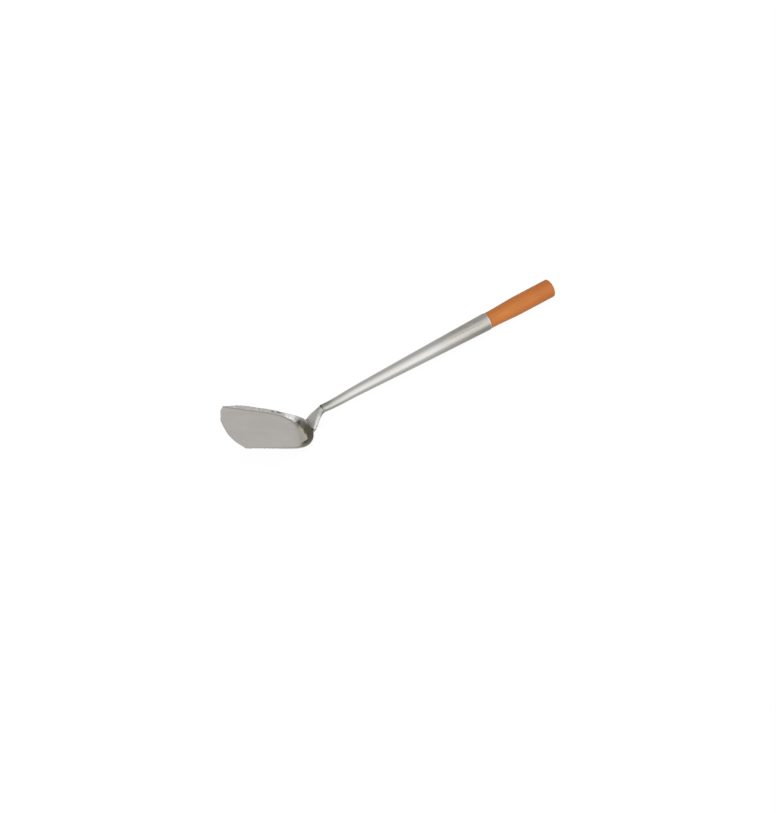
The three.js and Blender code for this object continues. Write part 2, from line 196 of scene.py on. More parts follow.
def make_piece(name, points, faces, placement, node, slot, notes=None):
    mesh = bpy.data.meshes.new(name)
    mesh.from_pydata([Vector(point) * MM for point in points], [], faces)
    for note, values in (notes or {}).items():
        kept = mesh.attributes.new(note, "FLOAT_VECTOR", "POINT")
        kept.data.foreach_set("vector", [number for value in values for number in value])
    glue_points(mesh)
    mesh.transform(placement)
    moved = hold_inside(mesh, *packed_box)
    mesh.shade_smooth()
    mesh.set_sharp_from_angle(angle=SHARP_FROM)
    piece = bpy.data.objects.new(name, mesh)
    bpy.context.scene.collection.objects.link(piece)
    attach(piece, "root")
    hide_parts(node)
    even = piece.modifiers.new("even_shading", "WEIGHTED_NORMAL")
    even.keep_sharp = True
    print(name, "has", len(mesh.vertices), "points, held inside by", round(moved / MM, 3), "mm")
    compare_with_node(mesh, node)
    return piece


print("pieces are held between", *[[round(x / MM, 1) for x in corner] for corner in packed_box], "mm")

# %% [markdown]
# ## The blade's plan
#
# The blade is pressed from one sheet. Its floor is flat, and where the floor turns up there is a crease
# line: two slightly tapered sides, two corner arcs and a shallow arc across the back. A freehand curve could
# follow it, but arcs that touch each other keep the reflections free of kinks, as on the pressing tool.

# %% Draw the crease
FLOOR_WIDTH = 109.5
FLOOR_LENGTH = 96
FRONT_BOW = 13.8
FRONT_FULLNESS = 0.4
SIDE_TAPER = math.radians(7.6)
BACK_RADIUS = 100
BACK_WIDTH = 25.3


def solve_crease():
    along = Vector((math.cos(SIDE_TAPER), -math.sin(SIDE_TAPER)))
    outward = Vector((math.sin(SIDE_TAPER), math.cos(SIDE_TAPER)))
    start = Vector((-FLOOR_LENGTH, FLOOR_WIDTH / 2))
    back_centre = Vector((-BACK_RADIUS, 0))
    corner_end = math.asin(BACK_WIDTH / 2 / BACK_RADIUS)
    to_corner = Vector((math.cos(corner_end), math.sin(corner_end)))
    turn = to_corner.dot(outward)
    corner_radius = ((start - back_centre).dot(outward) - BACK_RADIUS * turn) / (1 - turn)
    corner_centre = back_centre + to_corner * (BACK_RADIUS - corner_radius)
    side_length = (corner_centre - start).dot(along)
    corner_start = math.pi / 2 - SIDE_TAPER
    corner_length = corner_radius * (corner_start - corner_end)
    return SimpleNamespace(
        along=along, outward=outward, start=start, back_centre=back_centre,
        corner_centre=corner_centre, corner_radius=corner_radius, corner_start=corner_start,
        side_length=side_length, corner_length=corner_length,
        half_length=side_length + corner_length + BACK_RADIUS * corner_end)


crease = solve_crease()
print("corner radius", round(crease.corner_radius, 2), "mm, half of the crease",
      round(crease.half_length, 1), "mm")

# %% [markdown]
# ## The rim that grows into the back wall
#
# Along the sides the sheet turns up by only 26 degrees and stands a few millimetres wide. Behind the
# corners it grows and steepens until it is the wall that keeps food on the blade. Both changes are blended
# with a smooth step, because pressed sheet never changes its slope suddenly.

# %% Stations along the crease
SHEET = 1.2
BEND_RADIUS = 5
RIM_AT_FRONT = 2.3
RIM_AT_SIDES = 7.5
RIM_AT_BACK = 12.8
FLARE_AT_SIDES = math.radians(26)
FLARE_AT_BACK = math.radians(73.3)
SIDE_RIM_SHARE = 0.22
BACK_WALL_SHARE = 0.58


def crease_station(share, side):
    """A place on the crease: share 0 is a front corner, 1 the middle of the back."""
    distance = share * crease.half_length
    if distance <= crease.side_length:
        out = crease.outward
        point = crease.start + crease.along * distance
    elif distance <= crease.side_length + crease.corner_length:
        angle = crease.corner_start - (distance - crease.side_length) / crease.corner_radius
        out = Vector((math.cos(angle), math.sin(angle)))
        point = crease.corner_centre + out * crease.corner_radius
    else:
        angle = (crease.half_length - distance) / BACK_RADIUS
        out = Vector((math.cos(angle), math.sin(angle)))
        point = crease.back_centre + out * BACK_RADIUS
    side_rim = smooth_step(share / SIDE_RIM_SHARE)
    back_wall = smooth_step((share - BACK_WALL_SHARE) / (1 - BACK_WALL_SHARE))
    return SimpleNamespace(
        point=Vector((point.x, point.y * side)),
        out=Vector((out.x, out.y * side)),
        back_wall=back_wall,
        slant=mix(mix(RIM_AT_FRONT, RIM_AT_SIDES, side_rim), RIM_AT_BACK, back_wall),
        flare=mix(FLARE_AT_SIDES, FLARE_AT_BACK, back_wall))


def beside_crease(station, outward, up):
    plan = station.point + station.out * outward
    return Vector((plan.x, plan.y, up))


def rim_point(station, distance, depth):
    outward = distance * math.cos(station.flare) + depth * math.sin(station.flare)
    up = distance * math.sin(station.flare) - depth * math.cos(station.flare)
    return beside_crease(station, outward, up)


middle_of_back = crease_station(1, 1)
print("back wall top at", [round(x, 1) for x in rim_point(middle_of_back, middle_of_back.slant, 0)])

# %% [markdown]
# ## One section of the blade
#
# A section runs from the thin front edge across the floor, round the bend and up the rim. The thin edge
# slides under food, so the sheet is ground there from 1.2 to 0.7 mm. The real blade isn't quite even. Use has
# worn its front edge back on one side, a flat sheet that is drawn round a corner puckers, and the lip was
# trimmed by hand, most at the front corners. This could be sculpted on a finished mesh, but as small moves
# in the formulas it stays smooth and easy to change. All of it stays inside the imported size.

# %% Build a section
FRONT_EDGE = 0.7
FRONT_BEVEL = 7
BEND_STEPS = 14
RIM_STEPS = 8
FLOOR_STEPS = 14
PUCKER = 0.16
LIP_UNEVENNESS = 1.1
FRONT_WEAR = 1.5
WORN_STRETCH = (0.25, 0.55, 0.6, 0.9)
FRONT_FULLER = 0.9
FULLER_STRETCH = (0.05, 0.45, 0.8, 1)
CORNER_TRIM = 0.6
CORNER_TRIM_LENGTH = 4


def bend_pairs(station):
    tangent = BEND_RADIUS * math.tan(station.flare / 2)
    pairs = []
    for k in range(BEND_STEPS + 1):
        angle = station.flare * k / BEND_STEPS
        pairs.append(tuple(
            beside_crease(station, radius * math.sin(angle) - tangent, BEND_RADIUS - radius * math.cos(angle))
            for radius in (BEND_RADIUS, BEND_RADIUS + SHEET)))
    return pairs


def front_edge_point(corner, share):
    """The curved front edge: straighter in the middle than an arc, worn on one side, fuller on the other."""
    across = 2 * share - 1
    bow = FRONT_BOW * (1 - mix(across ** 2, across ** 4, FRONT_FULLNESS))
    worn = FRONT_WEAR * hump(across, *WORN_STRETCH)
    fuller = FRONT_FULLER * hump(-across, *FULLER_STRETCH)
    return Vector((corner.x - bow + worn - fuller, abs(corner.y) * across, 0))


def pucker(station, share, height_share):
    """How far a rim point is pulled inwards, in millimetres."""
    wave = noise.noise(Vector((share * 46, 0.3, 2.1))) * 0.6
    wave += noise.noise(Vector((share * 120, 5.2, 0.4))) * 0.4
    return PUCKER * (0.5 + wave) * height_share * (1 - 0.8 * station.back_wall)


def uneven_lip(station, share):
    """How far the trimmed lip falls short of its full height, in millimetres."""
    wave = noise.noise(Vector((share * 34, 7.7, 1.2))) * 0.5
    wave += noise.noise(Vector((share * 85, 2.9, 4.1))) * 0.5
    from_corner = (1 - abs(2 * share - 1)) * crease.half_length
    trim = CORNER_TRIM * (1 - smooth_step(from_corner / CORNER_TRIM_LENGTH))
    return trim + LIP_UNEVENNESS * max(0.15 + wave, 0) * (1 - station.back_wall)


def rim_pairs(station, share):
    tangent = BEND_RADIUS * math.tan(station.flare / 2)
    start = min(tangent, station.slant * 0.9)
    nose = SHEET / 2
    lip = max(station.slant - uneven_lip(station, share), start + nose)
    distances = [(mix(start, lip - nose, k / RIM_STEPS), 1) for k in range(1, RIM_STEPS + 1)]
    distances += [(lip - d, f) for d, f in reversed(rounded_edge(nose)[:-1])]
    pairs = []
    for distance, fullness in distances:
        pull = pucker(station, share, max(distance - start, 0) / station.slant)
        pair = [rim_point(station, distance, depth - pull) for depth in (0, SHEET)]
        pairs.append(thinned(pair, fullness))
    return pairs


def floor_pairs(edge, floor_end):
    floor = floor_end - edge
    bevel = min(FRONT_BEVEL, floor.length / 2)
    steps = [(d / FRONT_BEVEL, f) for d, f in rounded_edge(FRONT_EDGE / 2)]
    steps += [(share, 1) for share in (0.2, 0.4, 0.6, 0.8, 1)]
    pairs = []
    for share, fullness in steps:
        point = edge + floor.normalized() * bevel * share
        ground = mix(SHEET, FRONT_EDGE, bevel / FRONT_BEVEL)
        below = Vector((0, 0, -mix(ground, SHEET, share)))
        pairs.append(thinned((point, point + below), fullness))
    bevel_end = edge + floor.normalized() * bevel
    for k in range(1, FLOOR_STEPS):
        point = bevel_end.lerp(floor_end, k / FLOOR_STEPS)
        pairs.append((point, point + Vector((0, 0, -SHEET))))
    return pairs


def blade_section(share):
    side = -1 if share < 0.5 else 1
    along = 1 - abs(2 * share - 1)
    station = crease_station(along, side)
    corner = bend_pairs(crease_station(0, side))[0][0]
    bend = bend_pairs(station)
    pairs = floor_pairs(front_edge_point(corner, share), bend[0][0]) + bend + rim_pairs(station, share)
    from_end = min(along * crease.half_length / (SHEET / 2), 1)
    fullness = math.sqrt(1 - (1 - from_end) ** 2)
    return [thinned(pair, fullness) for pair in pairs]


def rim_places(share, section):
    """For each pair: the share round the blade, the way up from the bend and down from the lip, in metres."""
    bend_start = len(section) - (BEND_STEPS + 1) - (RIM_STEPS + len(rounded_edge(1)) - 1)
    ups = [0.0]
    for (below, _), (above, _) in zip(section, section[1:]):
        ups.append(ups[-1] + (above - below).length)
    start, lip = ups[bend_start], ups[-1]
    return [(share, (up - start) * MM, (lip - up) * MM) for up in ups]


print("points in a section:", len(blade_section(0.5)))
print("the back wall, from bend to lip:", round(rim_places(0.5, blade_section(0.5))[-1][1] / MM, 1), "mm")

# %% [markdown]
# ## Where the tool lies
#
# The sections are drawn in the blade's own frame, with the floor level. In use the tool is put down on the
# blade's heel and the end of the grip, with the front of the blade in the air. One matrix tips the whole
# tool back that far, so it carries every piece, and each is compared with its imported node.

# %% Make the blade
TIPPED_BACK = math.radians(37.3857)
tool_place = Matrix.Translation(Vector((-148.832, 0, -0.032)) * MM) @ Matrix.Rotation(TIPPED_BACK, 4, "Y")

BLADE_STATIONS = 260
end_shares = [d / (2 * crease.half_length) for d, f in rounded_edge(SHEET / 2)]
blade_shares = end_shares + [k / BLADE_STATIONS for k in range(1, BLADE_STATIONS)]
blade_shares += [1 - share for share in reversed(end_shares)]
blade_rows = [blade_section(share) for share in blade_shares]
blade_notes = [place for share, row in zip(blade_shares, blade_rows) for place in rim_places(share, row)]
blade = make_piece(
    "blade_pressing", *sheet_faces(blade_rows), tool_place, "blade", "blade_steel",
    {"rim_place": blade_notes * 2})

# %% [markdown]
# ## The neck
#
# A flat strip would bend under a full load of food, so the neck is pressed into a channel: a face with two
# flanges behind it. Its foot laps behind the back wall. Its other end narrows, rounds and bends softly until
# it fits into the tube, and the bend runs on a few millimetres inside the tube. It could be lofted between
# three profiles, but here the section itself is a function of the distance along the neck, which keeps
# width, depth and corner radius changing together.

# %% Lay out the neck's face line
NECK_SHEET = 1.5
NECK_LAP = 3
NECK_JOGGLE = 2
NECK_CORNER = 26.425
NECK_BEND_RADIUS = 18
NECK_END_RADIUS = 5.2
TUBE_FROM_CORNER = 2.525
FIT = 0.3
HANDLE_ANGLE = math.radians(36.55)
neck_bend_angle = FLARE_AT_BACK - HANDLE_ANGLE
neck_bend_length = NECK_BEND_RADIUS * neck_bend_angle
corner_to_bend_end = NECK_BEND_RADIUS * math.tan(neck_bend_angle / 2)
neck_rise = NECK_CORNER - corner_to_bend_end
bend_in_tube = corner_to_bend_end - TUBE_FROM_CORNER
neck_length = neck_rise + neck_bend_length - bend_in_tube


def forward(slope):
    return Vector((math.cos(slope), 0, math.sin(slope)))


def behind(slope):
    return Vector((math.sin(slope), 0, -math.cos(slope)))


def face_frame(distance):
    """A point of the neck's face line and the direction behind it, both in the plane of symmetry."""
    on_bend = min(max(distance - neck_rise, 0), neck_bend_length)
    slope = FLARE_AT_BACK - on_bend / NECK_BEND_RADIUS
    origin = forward(FLARE_AT_BACK) * (RIM_AT_BACK + min(distance, neck_rise))
    origin += (behind(FLARE_AT_BACK) - behind(slope)) * NECK_BEND_RADIUS
    origin += forward(slope) * max(distance - neck_rise - neck_bend_length, 0)
    return origin, behind(slope)


def lap_offset(distance):
    """How far the face lies behind the wall's inner face: the lap, and nothing above the joggle."""
    return mix(SHEET + FIT, 0, smooth_step((distance - FIT) / NECK_JOGGLE))


print("neck is", round(neck_length, 1), "mm long on its face")

# %% Build the neck's sections
NECK_FOOT_WIDTH = 27
NECK_FOOT_DEPTH = 5
NECK_END_DEPTH = 9.5
NECK_CORNER_RADIUS = 2.6
NECK_LEAN = math.radians(10)
NECK_BLEND = 12
CORNER_STEPS = 12
FACE_STEPS = 8


def channel_section(half_width, corner_radius, depth, lean, crown=0.0):
    """(across, depth, across, depth, fullness) of each pair, from one flange's cut edge to the other's."""
    corner = []
    for k in range(CORNER_STEPS + 1):
        angle = mix(-lean, math.pi / 2, k / CORNER_STEPS)
        corner.append([(half_width - corner_radius + radius * math.cos(angle),
                        crown + corner_radius - radius * math.sin(angle))
                       for radius in (corner_radius, corner_radius - NECK_SHEET)])
    section = []
    for distance, fullness in rounded_edge(NECK_SHEET / 2, 3):
        section.append(([(across - (depth - distance - down) * math.tan(lean), depth - distance)
                         for across, down in corner[0]], fullness))
    section += [(pair, 1) for pair in corner]
    inner_edge = corner[-1]
    for k in range(1, FACE_STEPS):
        section.append(([(across * (1 - k / FACE_STEPS), down) for across, down in inner_edge], 1))
    mirrored = [([(-across, down) for across, down in pair], fullness) for pair, fullness in section]
    middle = ([(0, crown), (0, crown + NECK_SHEET)], 1)
    return section + [middle] + mirrored[::-1]


def place_neck_section(section, distance, row_fullness):
    origin, inwards = face_frame(distance)
    blend = smooth_step((distance - FIT) / NECK_BLEND)
    pairs = []
    for pair, fullness in section:
        placed = []
        for across, depth in pair:
            station = crease_station(1 - abs(across) / crease.half_length, math.copysign(1, across))
            on_wall = rim_point(station, station.slant + distance, depth + lap_offset(distance))
            off_wall = origin + inwards * depth + Vector((0, across, 0))
            placed.append(on_wall.lerp(off_wall, blend))
        pairs.append(thinned(placed, fullness * row_fullness))
    return pairs


def neck_section(distance):
    share = max(distance, 0) / neck_length
    narrowing = (1 - math.cos(math.pi * share)) / 2
    rounding = smooth_step(share)
    return channel_section(
        mix(NECK_FOOT_WIDTH / 2, NECK_END_RADIUS, narrowing),
        mix(NECK_CORNER_RADIUS, NECK_END_RADIUS, rounding),
        mix(NECK_FOOT_DEPTH, NECK_END_DEPTH, share * share) - lap_offset(distance),
        NECK_LEAN * rounding)


print("pairs in a neck section:", len(neck_section(0)))

# %% Make the neck
NECK_ROWS = 90
TONGUE_RADIUS = 4.1
TONGUE_LENGTH = 28
TONGUE_PAST_AXIS = 0.4
TONGUE_END = 1
neck_rows = []
neck_notes = []


def add_neck_row(section, distance, row_fullness):
    """Adds a row, and notes how far each point is up the neck and from its flange's cut edge, in metres."""
    neck_rows.append(place_neck_section(section, distance, row_fullness))
    deepest = max(depth for pair, fullness in section for across, depth in pair)
    neck_notes.extend((distance * MM, (deepest - pair[0][1]) * MM, 0) for pair, fullness in section)


for distance, fullness in rounded_edge(NECK_SHEET / 2, 3):
    add_neck_row(neck_section(distance - NECK_LAP), distance - NECK_LAP, fullness)
neck_start = NECK_SHEET / 2 - NECK_LAP
for k in range(1, NECK_ROWS + 1):
    distance = mix(neck_start, neck_length - FIT, k / NECK_ROWS)
    add_neck_row(neck_section(distance), distance, 1)
tongue = channel_section(TONGUE_RADIUS, TONGUE_RADIUS, NECK_END_RADIUS + TONGUE_PAST_AXIS, 0,
                         NECK_END_RADIUS - TONGUE_RADIUS)
tongue_stops = [(bend_in_tube * k / 4, 1) for k in range(5)]
tongue_stops += [(TONGUE_LENGTH - TONGUE_END, 1), (TONGUE_LENGTH, 0)]
for distance, fullness in tongue_stops:
    add_neck_row(tongue, neck_length + distance, fullness)
neck = make_piece("neck_pressing", *sheet_faces(neck_rows), tool_place, "neck", "neck_steel",
                  {"neck_place": neck_notes * 2})

# %% [markdown]
# ## Two weld beads
#
# The foot of the neck is welded to the top of the back wall, and the tube to the neck's shoulder. A bead
# made by hand is a row of small overlapping puddles. A plain half round would look moulded, so its height
# and its edge rise and fall with each puddle, and every puddle's front bows forward, as the arc pushed it.

# %% Build a rippled bead
BEAD_STEPS = 150
BEAD_ARC_STEPS = 14
BEAD_SINK = 0.35
BEAD_WANDER = 0.08
GROOVE_WIDTH = 0.88
GROOVE_HEIGHT = 0.62
PUDDLE_BOW = 0.35
PUDDLE_UNEVENNESS = 0.12


def ripple(along, across, puddles):
    """0 in the groove between two puddles, 1 on a puddle's crown."""
    place = (along + 1) / 2 * puddles + PUDDLE_BOW * across * across
    place += PUDDLE_UNEVENNESS * noise.noise(Vector((along * 6, 3.3, 1)))
    return abs(math.sin(math.pi * place)) ** 0.6


def bead_rows(width, height, puddles, place):
    rows = []
    for i in range(BEAD_STEPS + 1):
        along = 2 * i / BEAD_STEPS - 1
        fullness = (1 - along ** 6) ** 0.5
        wander = BEAD_WANDER * noise.noise(Vector((along * 5, 8.1, puddles)))
        row = []
        for k in range(BEAD_ARC_STEPS + 1):
            angle = math.pi * k / BEAD_ARC_STEPS
            across = math.cos(angle)
            puddle = ripple(along, across, puddles)
            reach = fullness * (across * mix(GROOVE_WIDTH, 1, puddle) + wander) * width / 2
            crown = fullness * mix(GROOVE_HEIGHT, 1, puddle) * height * math.sin(angle)
            row.append((place(along, reach, crown), place(along, reach, -BEAD_SINK * math.sin(angle))))
        rows.append(row)
    return rows


print("ripple at the middle of a puddle:", round(ripple(0.02, 0, 9), 2))

# %% Make the neck's bead
NECK_BEAD_WIDTH = 3
NECK_BEAD_HEIGHT = 0.9


def on_neck_seam(along, across, height):
    lateral = along * (NECK_FOOT_WIDTH / 2 - NECK_CORNER_RADIUS / 2)
    station = crease_station(1 - abs(lateral) / crease.half_length, math.copysign(1, lateral))
    return rim_point(station, station.slant + FIT + NECK_JOGGLE / 2 - across, -height)


neck_bead = make_piece(
    "neck_bead", *sheet_faces(bead_rows(NECK_BEAD_WIDTH, NECK_BEAD_HEIGHT, 13, on_neck_seam)),
    tool_place, "neck_weld", "weld_bead")

# %% [markdown]
# ## The handle's own frame
#
# Tube, bead, grip and nail are turned about one axis. It is easiest to draw them lying along X, with Z
# towards the handle's crown, and to place them all with a second matrix that follows the first. Only the
# tube's first few millimetres still follow the neck's bend. A Curve modifier could bend them, but it acts on
# a whole object, so a helper takes single points round the bend's centre.

# %% Place the handle's axis
bend_end, behind_handle = face_frame(neck_length + bend_in_tube)
handle_place = (tool_place @ Matrix.Translation((bend_end + behind_handle * NECK_END_RADIUS) * MM)
                @ Matrix.Rotation(-HANDLE_ANGLE, 4, "Y")
                @ Matrix.Translation(Vector((-bend_in_tube, 0, 0)) * MM))


def follow_bend(point):
    """Takes the first few millimetres of the handle round the end of the neck's bend."""
    before_end = bend_in_tube - point.x
    if before_end <= 0:
        return point
    angle = before_end / NECK_BEND_RADIUS
    from_centre = NECK_BEND_RADIUS + point.z - NECK_END_RADIUS
    return Vector((bend_in_tube - from_centre * math.sin(angle), point.y,
                   NECK_END_RADIUS - NECK_BEND_RADIUS + from_centre * math.cos(angle)))


print("handle leans by", round(math.degrees(TIPPED_BACK - HANDLE_ANGLE), 2), "degrees when the tool lies")

# %% Make the tube's bead
TUBE_BEAD_WIDTH = 2.2
TUBE_BEAD_HEIGHT = 0.45
TUBE_BEAD_SWEEP = math.radians(130)
TUBE_SMALL = 11


def on_tube_seam(along, across, height):
    angle = along * TUBE_BEAD_SWEEP / 2
    radius = TUBE_SMALL / 2 + height
    return follow_bend(Vector((FIT / 2 - across, radius * math.sin(angle), radius * math.cos(angle))))


tube_bead = make_piece(
    "tube_bead", *sheet_faces(bead_rows(TUBE_BEAD_WIDTH, TUBE_BEAD_HEIGHT, 8, on_tube_seam)),
    handle_place, "tube_weld", "weld_bead")

# %% [markdown]
# ## The tube
#
# The tube is rolled from a tapered blank, so it has one butt seam, which is turned to the underside. A cone
# with a cut in it would do, but the real tube is slightly full in the middle, bows a little where it was
# driven onto the neck's tongue, and its large end is rolled in so that it grips the wood. The ring is opened
# by the width of the seam, and both the seam and the ends get the rounded edge.

# %% Make the tube
TUBE_LENGTH = 250.6
TUBE_LARGE = 23.8
TUBE_FULLNESS = 0.25
TUBE_WALL = 1
TUBE_END_ROLL = 0.6
TUBE_END_ROLL_LENGTH = 5
TUBE_BOW = 0.8
BOWED_STRETCH = (0, 14, 20, 50)
TUBE_LIP = 0.45
SEAM_LIP = 0.25
SEAM_GAP = 0.4
TUBE_ROWS = 90
RING_STEPS = 120
tube_end = FIT + TUBE_LENGTH


def tube_radius(x):
    share = (x - FIT) / TUBE_LENGTH
    return mix(TUBE_SMALL, TUBE_LARGE, share + TUBE_FULLNESS * share * (1 - share)) / 2


def seam_angles(radius):
    """Angles from one lip of the seam to the other, with how full the sheet is at each."""
    lip = math.asin(SEAM_GAP / 2 / radius)
    near = [(lip + d / radius, f) for d, f in rounded_edge(SEAM_LIP, 3)]
    middle = [(2 * math.pi * k / RING_STEPS, 1) for k in range(1, RING_STEPS)]
    return near + middle + [(2 * math.pi - angle, f) for angle, f in reversed(near)]


def tube_bow(x):
    """How far the tube bows towards its seam near the neck, in millimetres."""
    return TUBE_BOW * hump(x, *BOWED_STRETCH)


def end_roll(x):
    """How far the tube's large end is rolled in, in millimetres."""
    share = min(max(1 - (tube_end - x) / TUBE_END_ROLL_LENGTH, 0), 1)
    return TUBE_END_ROLL * (1 - math.sqrt(1 - share * share))


def tube_section(x, row_fullness):
    full = tube_radius(x)
    pairs = []
    for angle, fullness in seam_angles(full):
        pair = [follow_bend(Vector((
            x, radius * math.sin(angle), -radius * math.cos(angle) - tube_bow(x))))
            for radius in (full - end_roll(x), full - TUBE_WALL)]
        pairs.append(thinned(pair, fullness * row_fullness))
    return pairs


roll_start = tube_end - TUBE_END_ROLL_LENGTH
tube_stops = [(FIT + d, f) for d, f in rounded_edge(TUBE_LIP)]
tube_stops += [(mix(FIT + TUBE_LIP, bend_in_tube, k / 8), 1) for k in range(1, 8)]
tube_stops += [(mix(bend_in_tube, roll_start, k / TUBE_ROWS), 1) for k in range(TUBE_ROWS)]
tube_stops += [(mix(roll_start, tube_end - TUBE_LIP, k / 8), 1) for k in range(8)]
tube_stops += [(tube_end - d, f) for d, f in reversed(rounded_edge(TUBE_LIP))]
tube = make_piece(
    "rolled_tube", *sheet_faces([tube_section(x, fullness) for x, fullness in tube_stops]),
    handle_place, "handle_tube", "tube_steel")

# %% [markdown]
# ## The turned grip
#
# The grip is turned on a lathe: a spigot in the tube, a slow swell to fill the palm, and a domed end with a
# small flat left by the lathe's centre. A Screw modifier could spin the profile, but a short function of
# our own gives rings of points that can also be used for the nail.

# %% Helper for turned pieces
def turned_faces(profile, steps):
    """Points and faces of a body turned about X, from (x, radius) pairs that start and end on the axis."""
    points = []
    for x, radius in profile:
        for k in range(steps):
            angle = 2 * math.pi * k / steps
            points.append(Vector((x, radius * math.sin(angle), radius * math.cos(angle))))
    faces = []
    for i in range(len(profile) - 1):
        for k in range(steps):
            after = (k + 1) % steps
            faces.append((i * steps + k, i * steps + after, (i + 1) * steps + after, (i + 1) * steps + k))
    return points, faces


print("a plain rod with 8 sides has", len(turned_faces([(0, 0), (0, 1), (9, 1), (9, 0)], 8)[1]), "faces")


# %% Make the grip
GRIP_LENGTH = 100
GRIP_NECK = 22.4
GRIP_WIDEST = 25.4
GRIP_SWELL_START = 3
GRIP_SWELL = 45
GRIP_DOME = 24
GRIP_EDGE = 3
GRIP_FLAT = 10
GRIP_START_EDGE = 0.4
GRIP_SIDES = 120
SWELL_STEPS = 40
EDGE_STEPS = 8
DOME_STEPS = 12
SPIGOT = 40
SPIGOT_TAPER = 2.5
grip_start = tube_end + FIT
grip_end = grip_start + GRIP_LENGTH


def grip_end_profile():
    flat_angle = math.asin(GRIP_FLAT / 2 / GRIP_DOME)
    dome_centre = grip_end - GRIP_DOME * math.cos(flat_angle)
    edge_centre_radius = GRIP_WIDEST / 2 - GRIP_EDGE
    edge_angle = math.asin(edge_centre_radius / (GRIP_DOME - GRIP_EDGE))
    edge_centre = dome_centre + (GRIP_DOME - GRIP_EDGE) * math.cos(edge_angle)
    profile = []
    for k in range(EDGE_STEPS + 1):
        angle = mix(math.pi / 2, edge_angle, k / EDGE_STEPS)
        profile.append((edge_centre + GRIP_EDGE * math.cos(angle),
                        edge_centre_radius + GRIP_EDGE * math.sin(angle)))
    for k in range(1, DOME_STEPS + 1):
        angle = mix(edge_angle, flat_angle, k / DOME_STEPS)
        profile.append((dome_centre + GRIP_DOME * math.cos(angle), GRIP_DOME * math.sin(angle)))
    return profile + [(grip_end, GRIP_FLAT / 5), (grip_end, 0)]


def grip_profile():
    spigot = tube_radius(tube_end) - TUBE_WALL - FIT
    profile = [(tube_end - SPIGOT, 0), (tube_end - SPIGOT, spigot - SPIGOT_TAPER), (grip_start, spigot)]
    for distance, fullness in rounded_edge(GRIP_START_EDGE):
        profile.append((grip_start + distance, GRIP_NECK / 2 - GRIP_START_EDGE * (1 - fullness)))
    for k in range(SWELL_STEPS + 1):
        radius = mix(GRIP_NECK, GRIP_WIDEST, smooth_step(k / SWELL_STEPS)) / 2
        profile.append((grip_start + GRIP_SWELL_START + GRIP_SWELL * k / SWELL_STEPS, radius))
    return profile + grip_end_profile()


grip = make_piece(
    "turned_grip", *turned_faces(grip_profile(), GRIP_SIDES), handle_place, "wood_grip", "grip_wood")

# %% [markdown]
# ## The nail
#
# A small nail through the tube's wall keeps the grip from pulling out. It sits on the underside, beside the
# seam. A cylinder with a squashed ball on it would do, but only the domed head shows, so the head gets the
# care: a low dome with a soft edge, turned from one profile with the shank.

# %% Make the nail
NAIL_INSET = 14
NAIL_TURN = math.radians(35)
NAIL_LENGTH = 9
NAIL_SHANK = 2
NAIL_HEAD = 4.6
NAIL_HEAD_HEIGHT = 0.9
NAIL_EDGE = 0.25
NAIL_STEPS = 10
NAIL_SIDES = 40
nail_x = tube_end - NAIL_INSET
nail_direction = Vector((0, math.sin(NAIL_TURN), -math.cos(NAIL_TURN)))
nail_seat = Vector((nail_x, 0, 0)) + nail_direction * (tube_radius(nail_x) + FIT)
nail_place = (handle_place @ Matrix.Translation(nail_seat * MM)
              @ Vector((1, 0, 0)).rotation_difference(nail_direction).to_matrix().to_4x4())
nail_profile = [(-NAIL_LENGTH, 0), (-NAIL_LENGTH + NAIL_SHANK, NAIL_SHANK / 2), (-FIT, NAIL_SHANK / 2)]
nail_profile += [(-FIT, NAIL_HEAD / 2 - NAIL_EDGE), (-FIT / 3, NAIL_HEAD / 2 - NAIL_EDGE / 5)]
for k in range(NAIL_STEPS + 1):
    angle = math.pi / 2 * k / NAIL_STEPS
    nail_profile.append((NAIL_HEAD_HEIGHT * math.sin(angle), NAIL_HEAD / 2 * math.cos(angle)))
nail = make_piece(
    "grip_pin", *turned_faces(nail_profile, NAIL_SIDES), nail_place, "grip_nail", "nail_steel")

# %% [markdown]
# ## Building finishes from nodes
#
# A finish is a small network: coordinates go in, colours and heights come out. It could be joined up by hand
# in the shader editor, but then it couldn't be read here. Blender's own calls are long, so one helper adds a
# node together with what feeds it, and a few more name the steps that every finish repeats.

# %% Helpers that add nodes
def add_node(tree, kind, inputs=None, **settings):
    """Adds a node. Each of its inputs is given a plain value or the socket that feeds it."""
    node = tree.nodes.new(kind)
    for name, value in settings.items():
        setattr(node, name, value)
    for name, value in (inputs or {}).items():
        if isinstance(value, bpy.types.NodeSocket):
            tree.links.new(value, node.inputs[name])
        else:
            node.inputs[name].default_value = value
    return node


def math_node(tree, operation, *values, clamp=False):
    inputs = dict(enumerate(values))
    return add_node(tree, "ShaderNodeMath", inputs, operation=operation, use_clamp=clamp).outputs[0]


def vector_node(tree, operation, *values):
    return add_node(tree, "ShaderNodeVectorMath", dict(enumerate(values)), operation=operation).outputs


def split(tree, vector):
    """The X, Y and Z of a vector."""
    return add_node(tree, "ShaderNodeSeparateXYZ", {0: vector}).outputs


def noise_at(tree, vector, scale, detail, **more):
    inputs = {"Vector": vector, "Scale": scale, "Detail": detail, **more}
    return add_node(tree, "ShaderNodeTexNoise", inputs).outputs[0]


print("materials so far:", len(bpy.data.materials))

# %% [markdown]
# ## Masks and colours
#
# Most marks on the tool have a known place: near a lip, beside a weld, where the hand holds it. They could be
# painted on a picture that is wrapped round the piece, but a picture has a fixed sharpness. Here a fade along
# a coordinate puts the mark in its place, a noise breaks up its outline, and masks that are multiplied meet
# only where both are bright. The colour is then mixed in as strongly as the mask says.

# %% Helpers for masks and colours
def times(tree, first, *others):
    """The product of masks or numbers."""
    product = first
    for other in others:
        product = math_node(tree, "MULTIPLY", product, other)
    return product


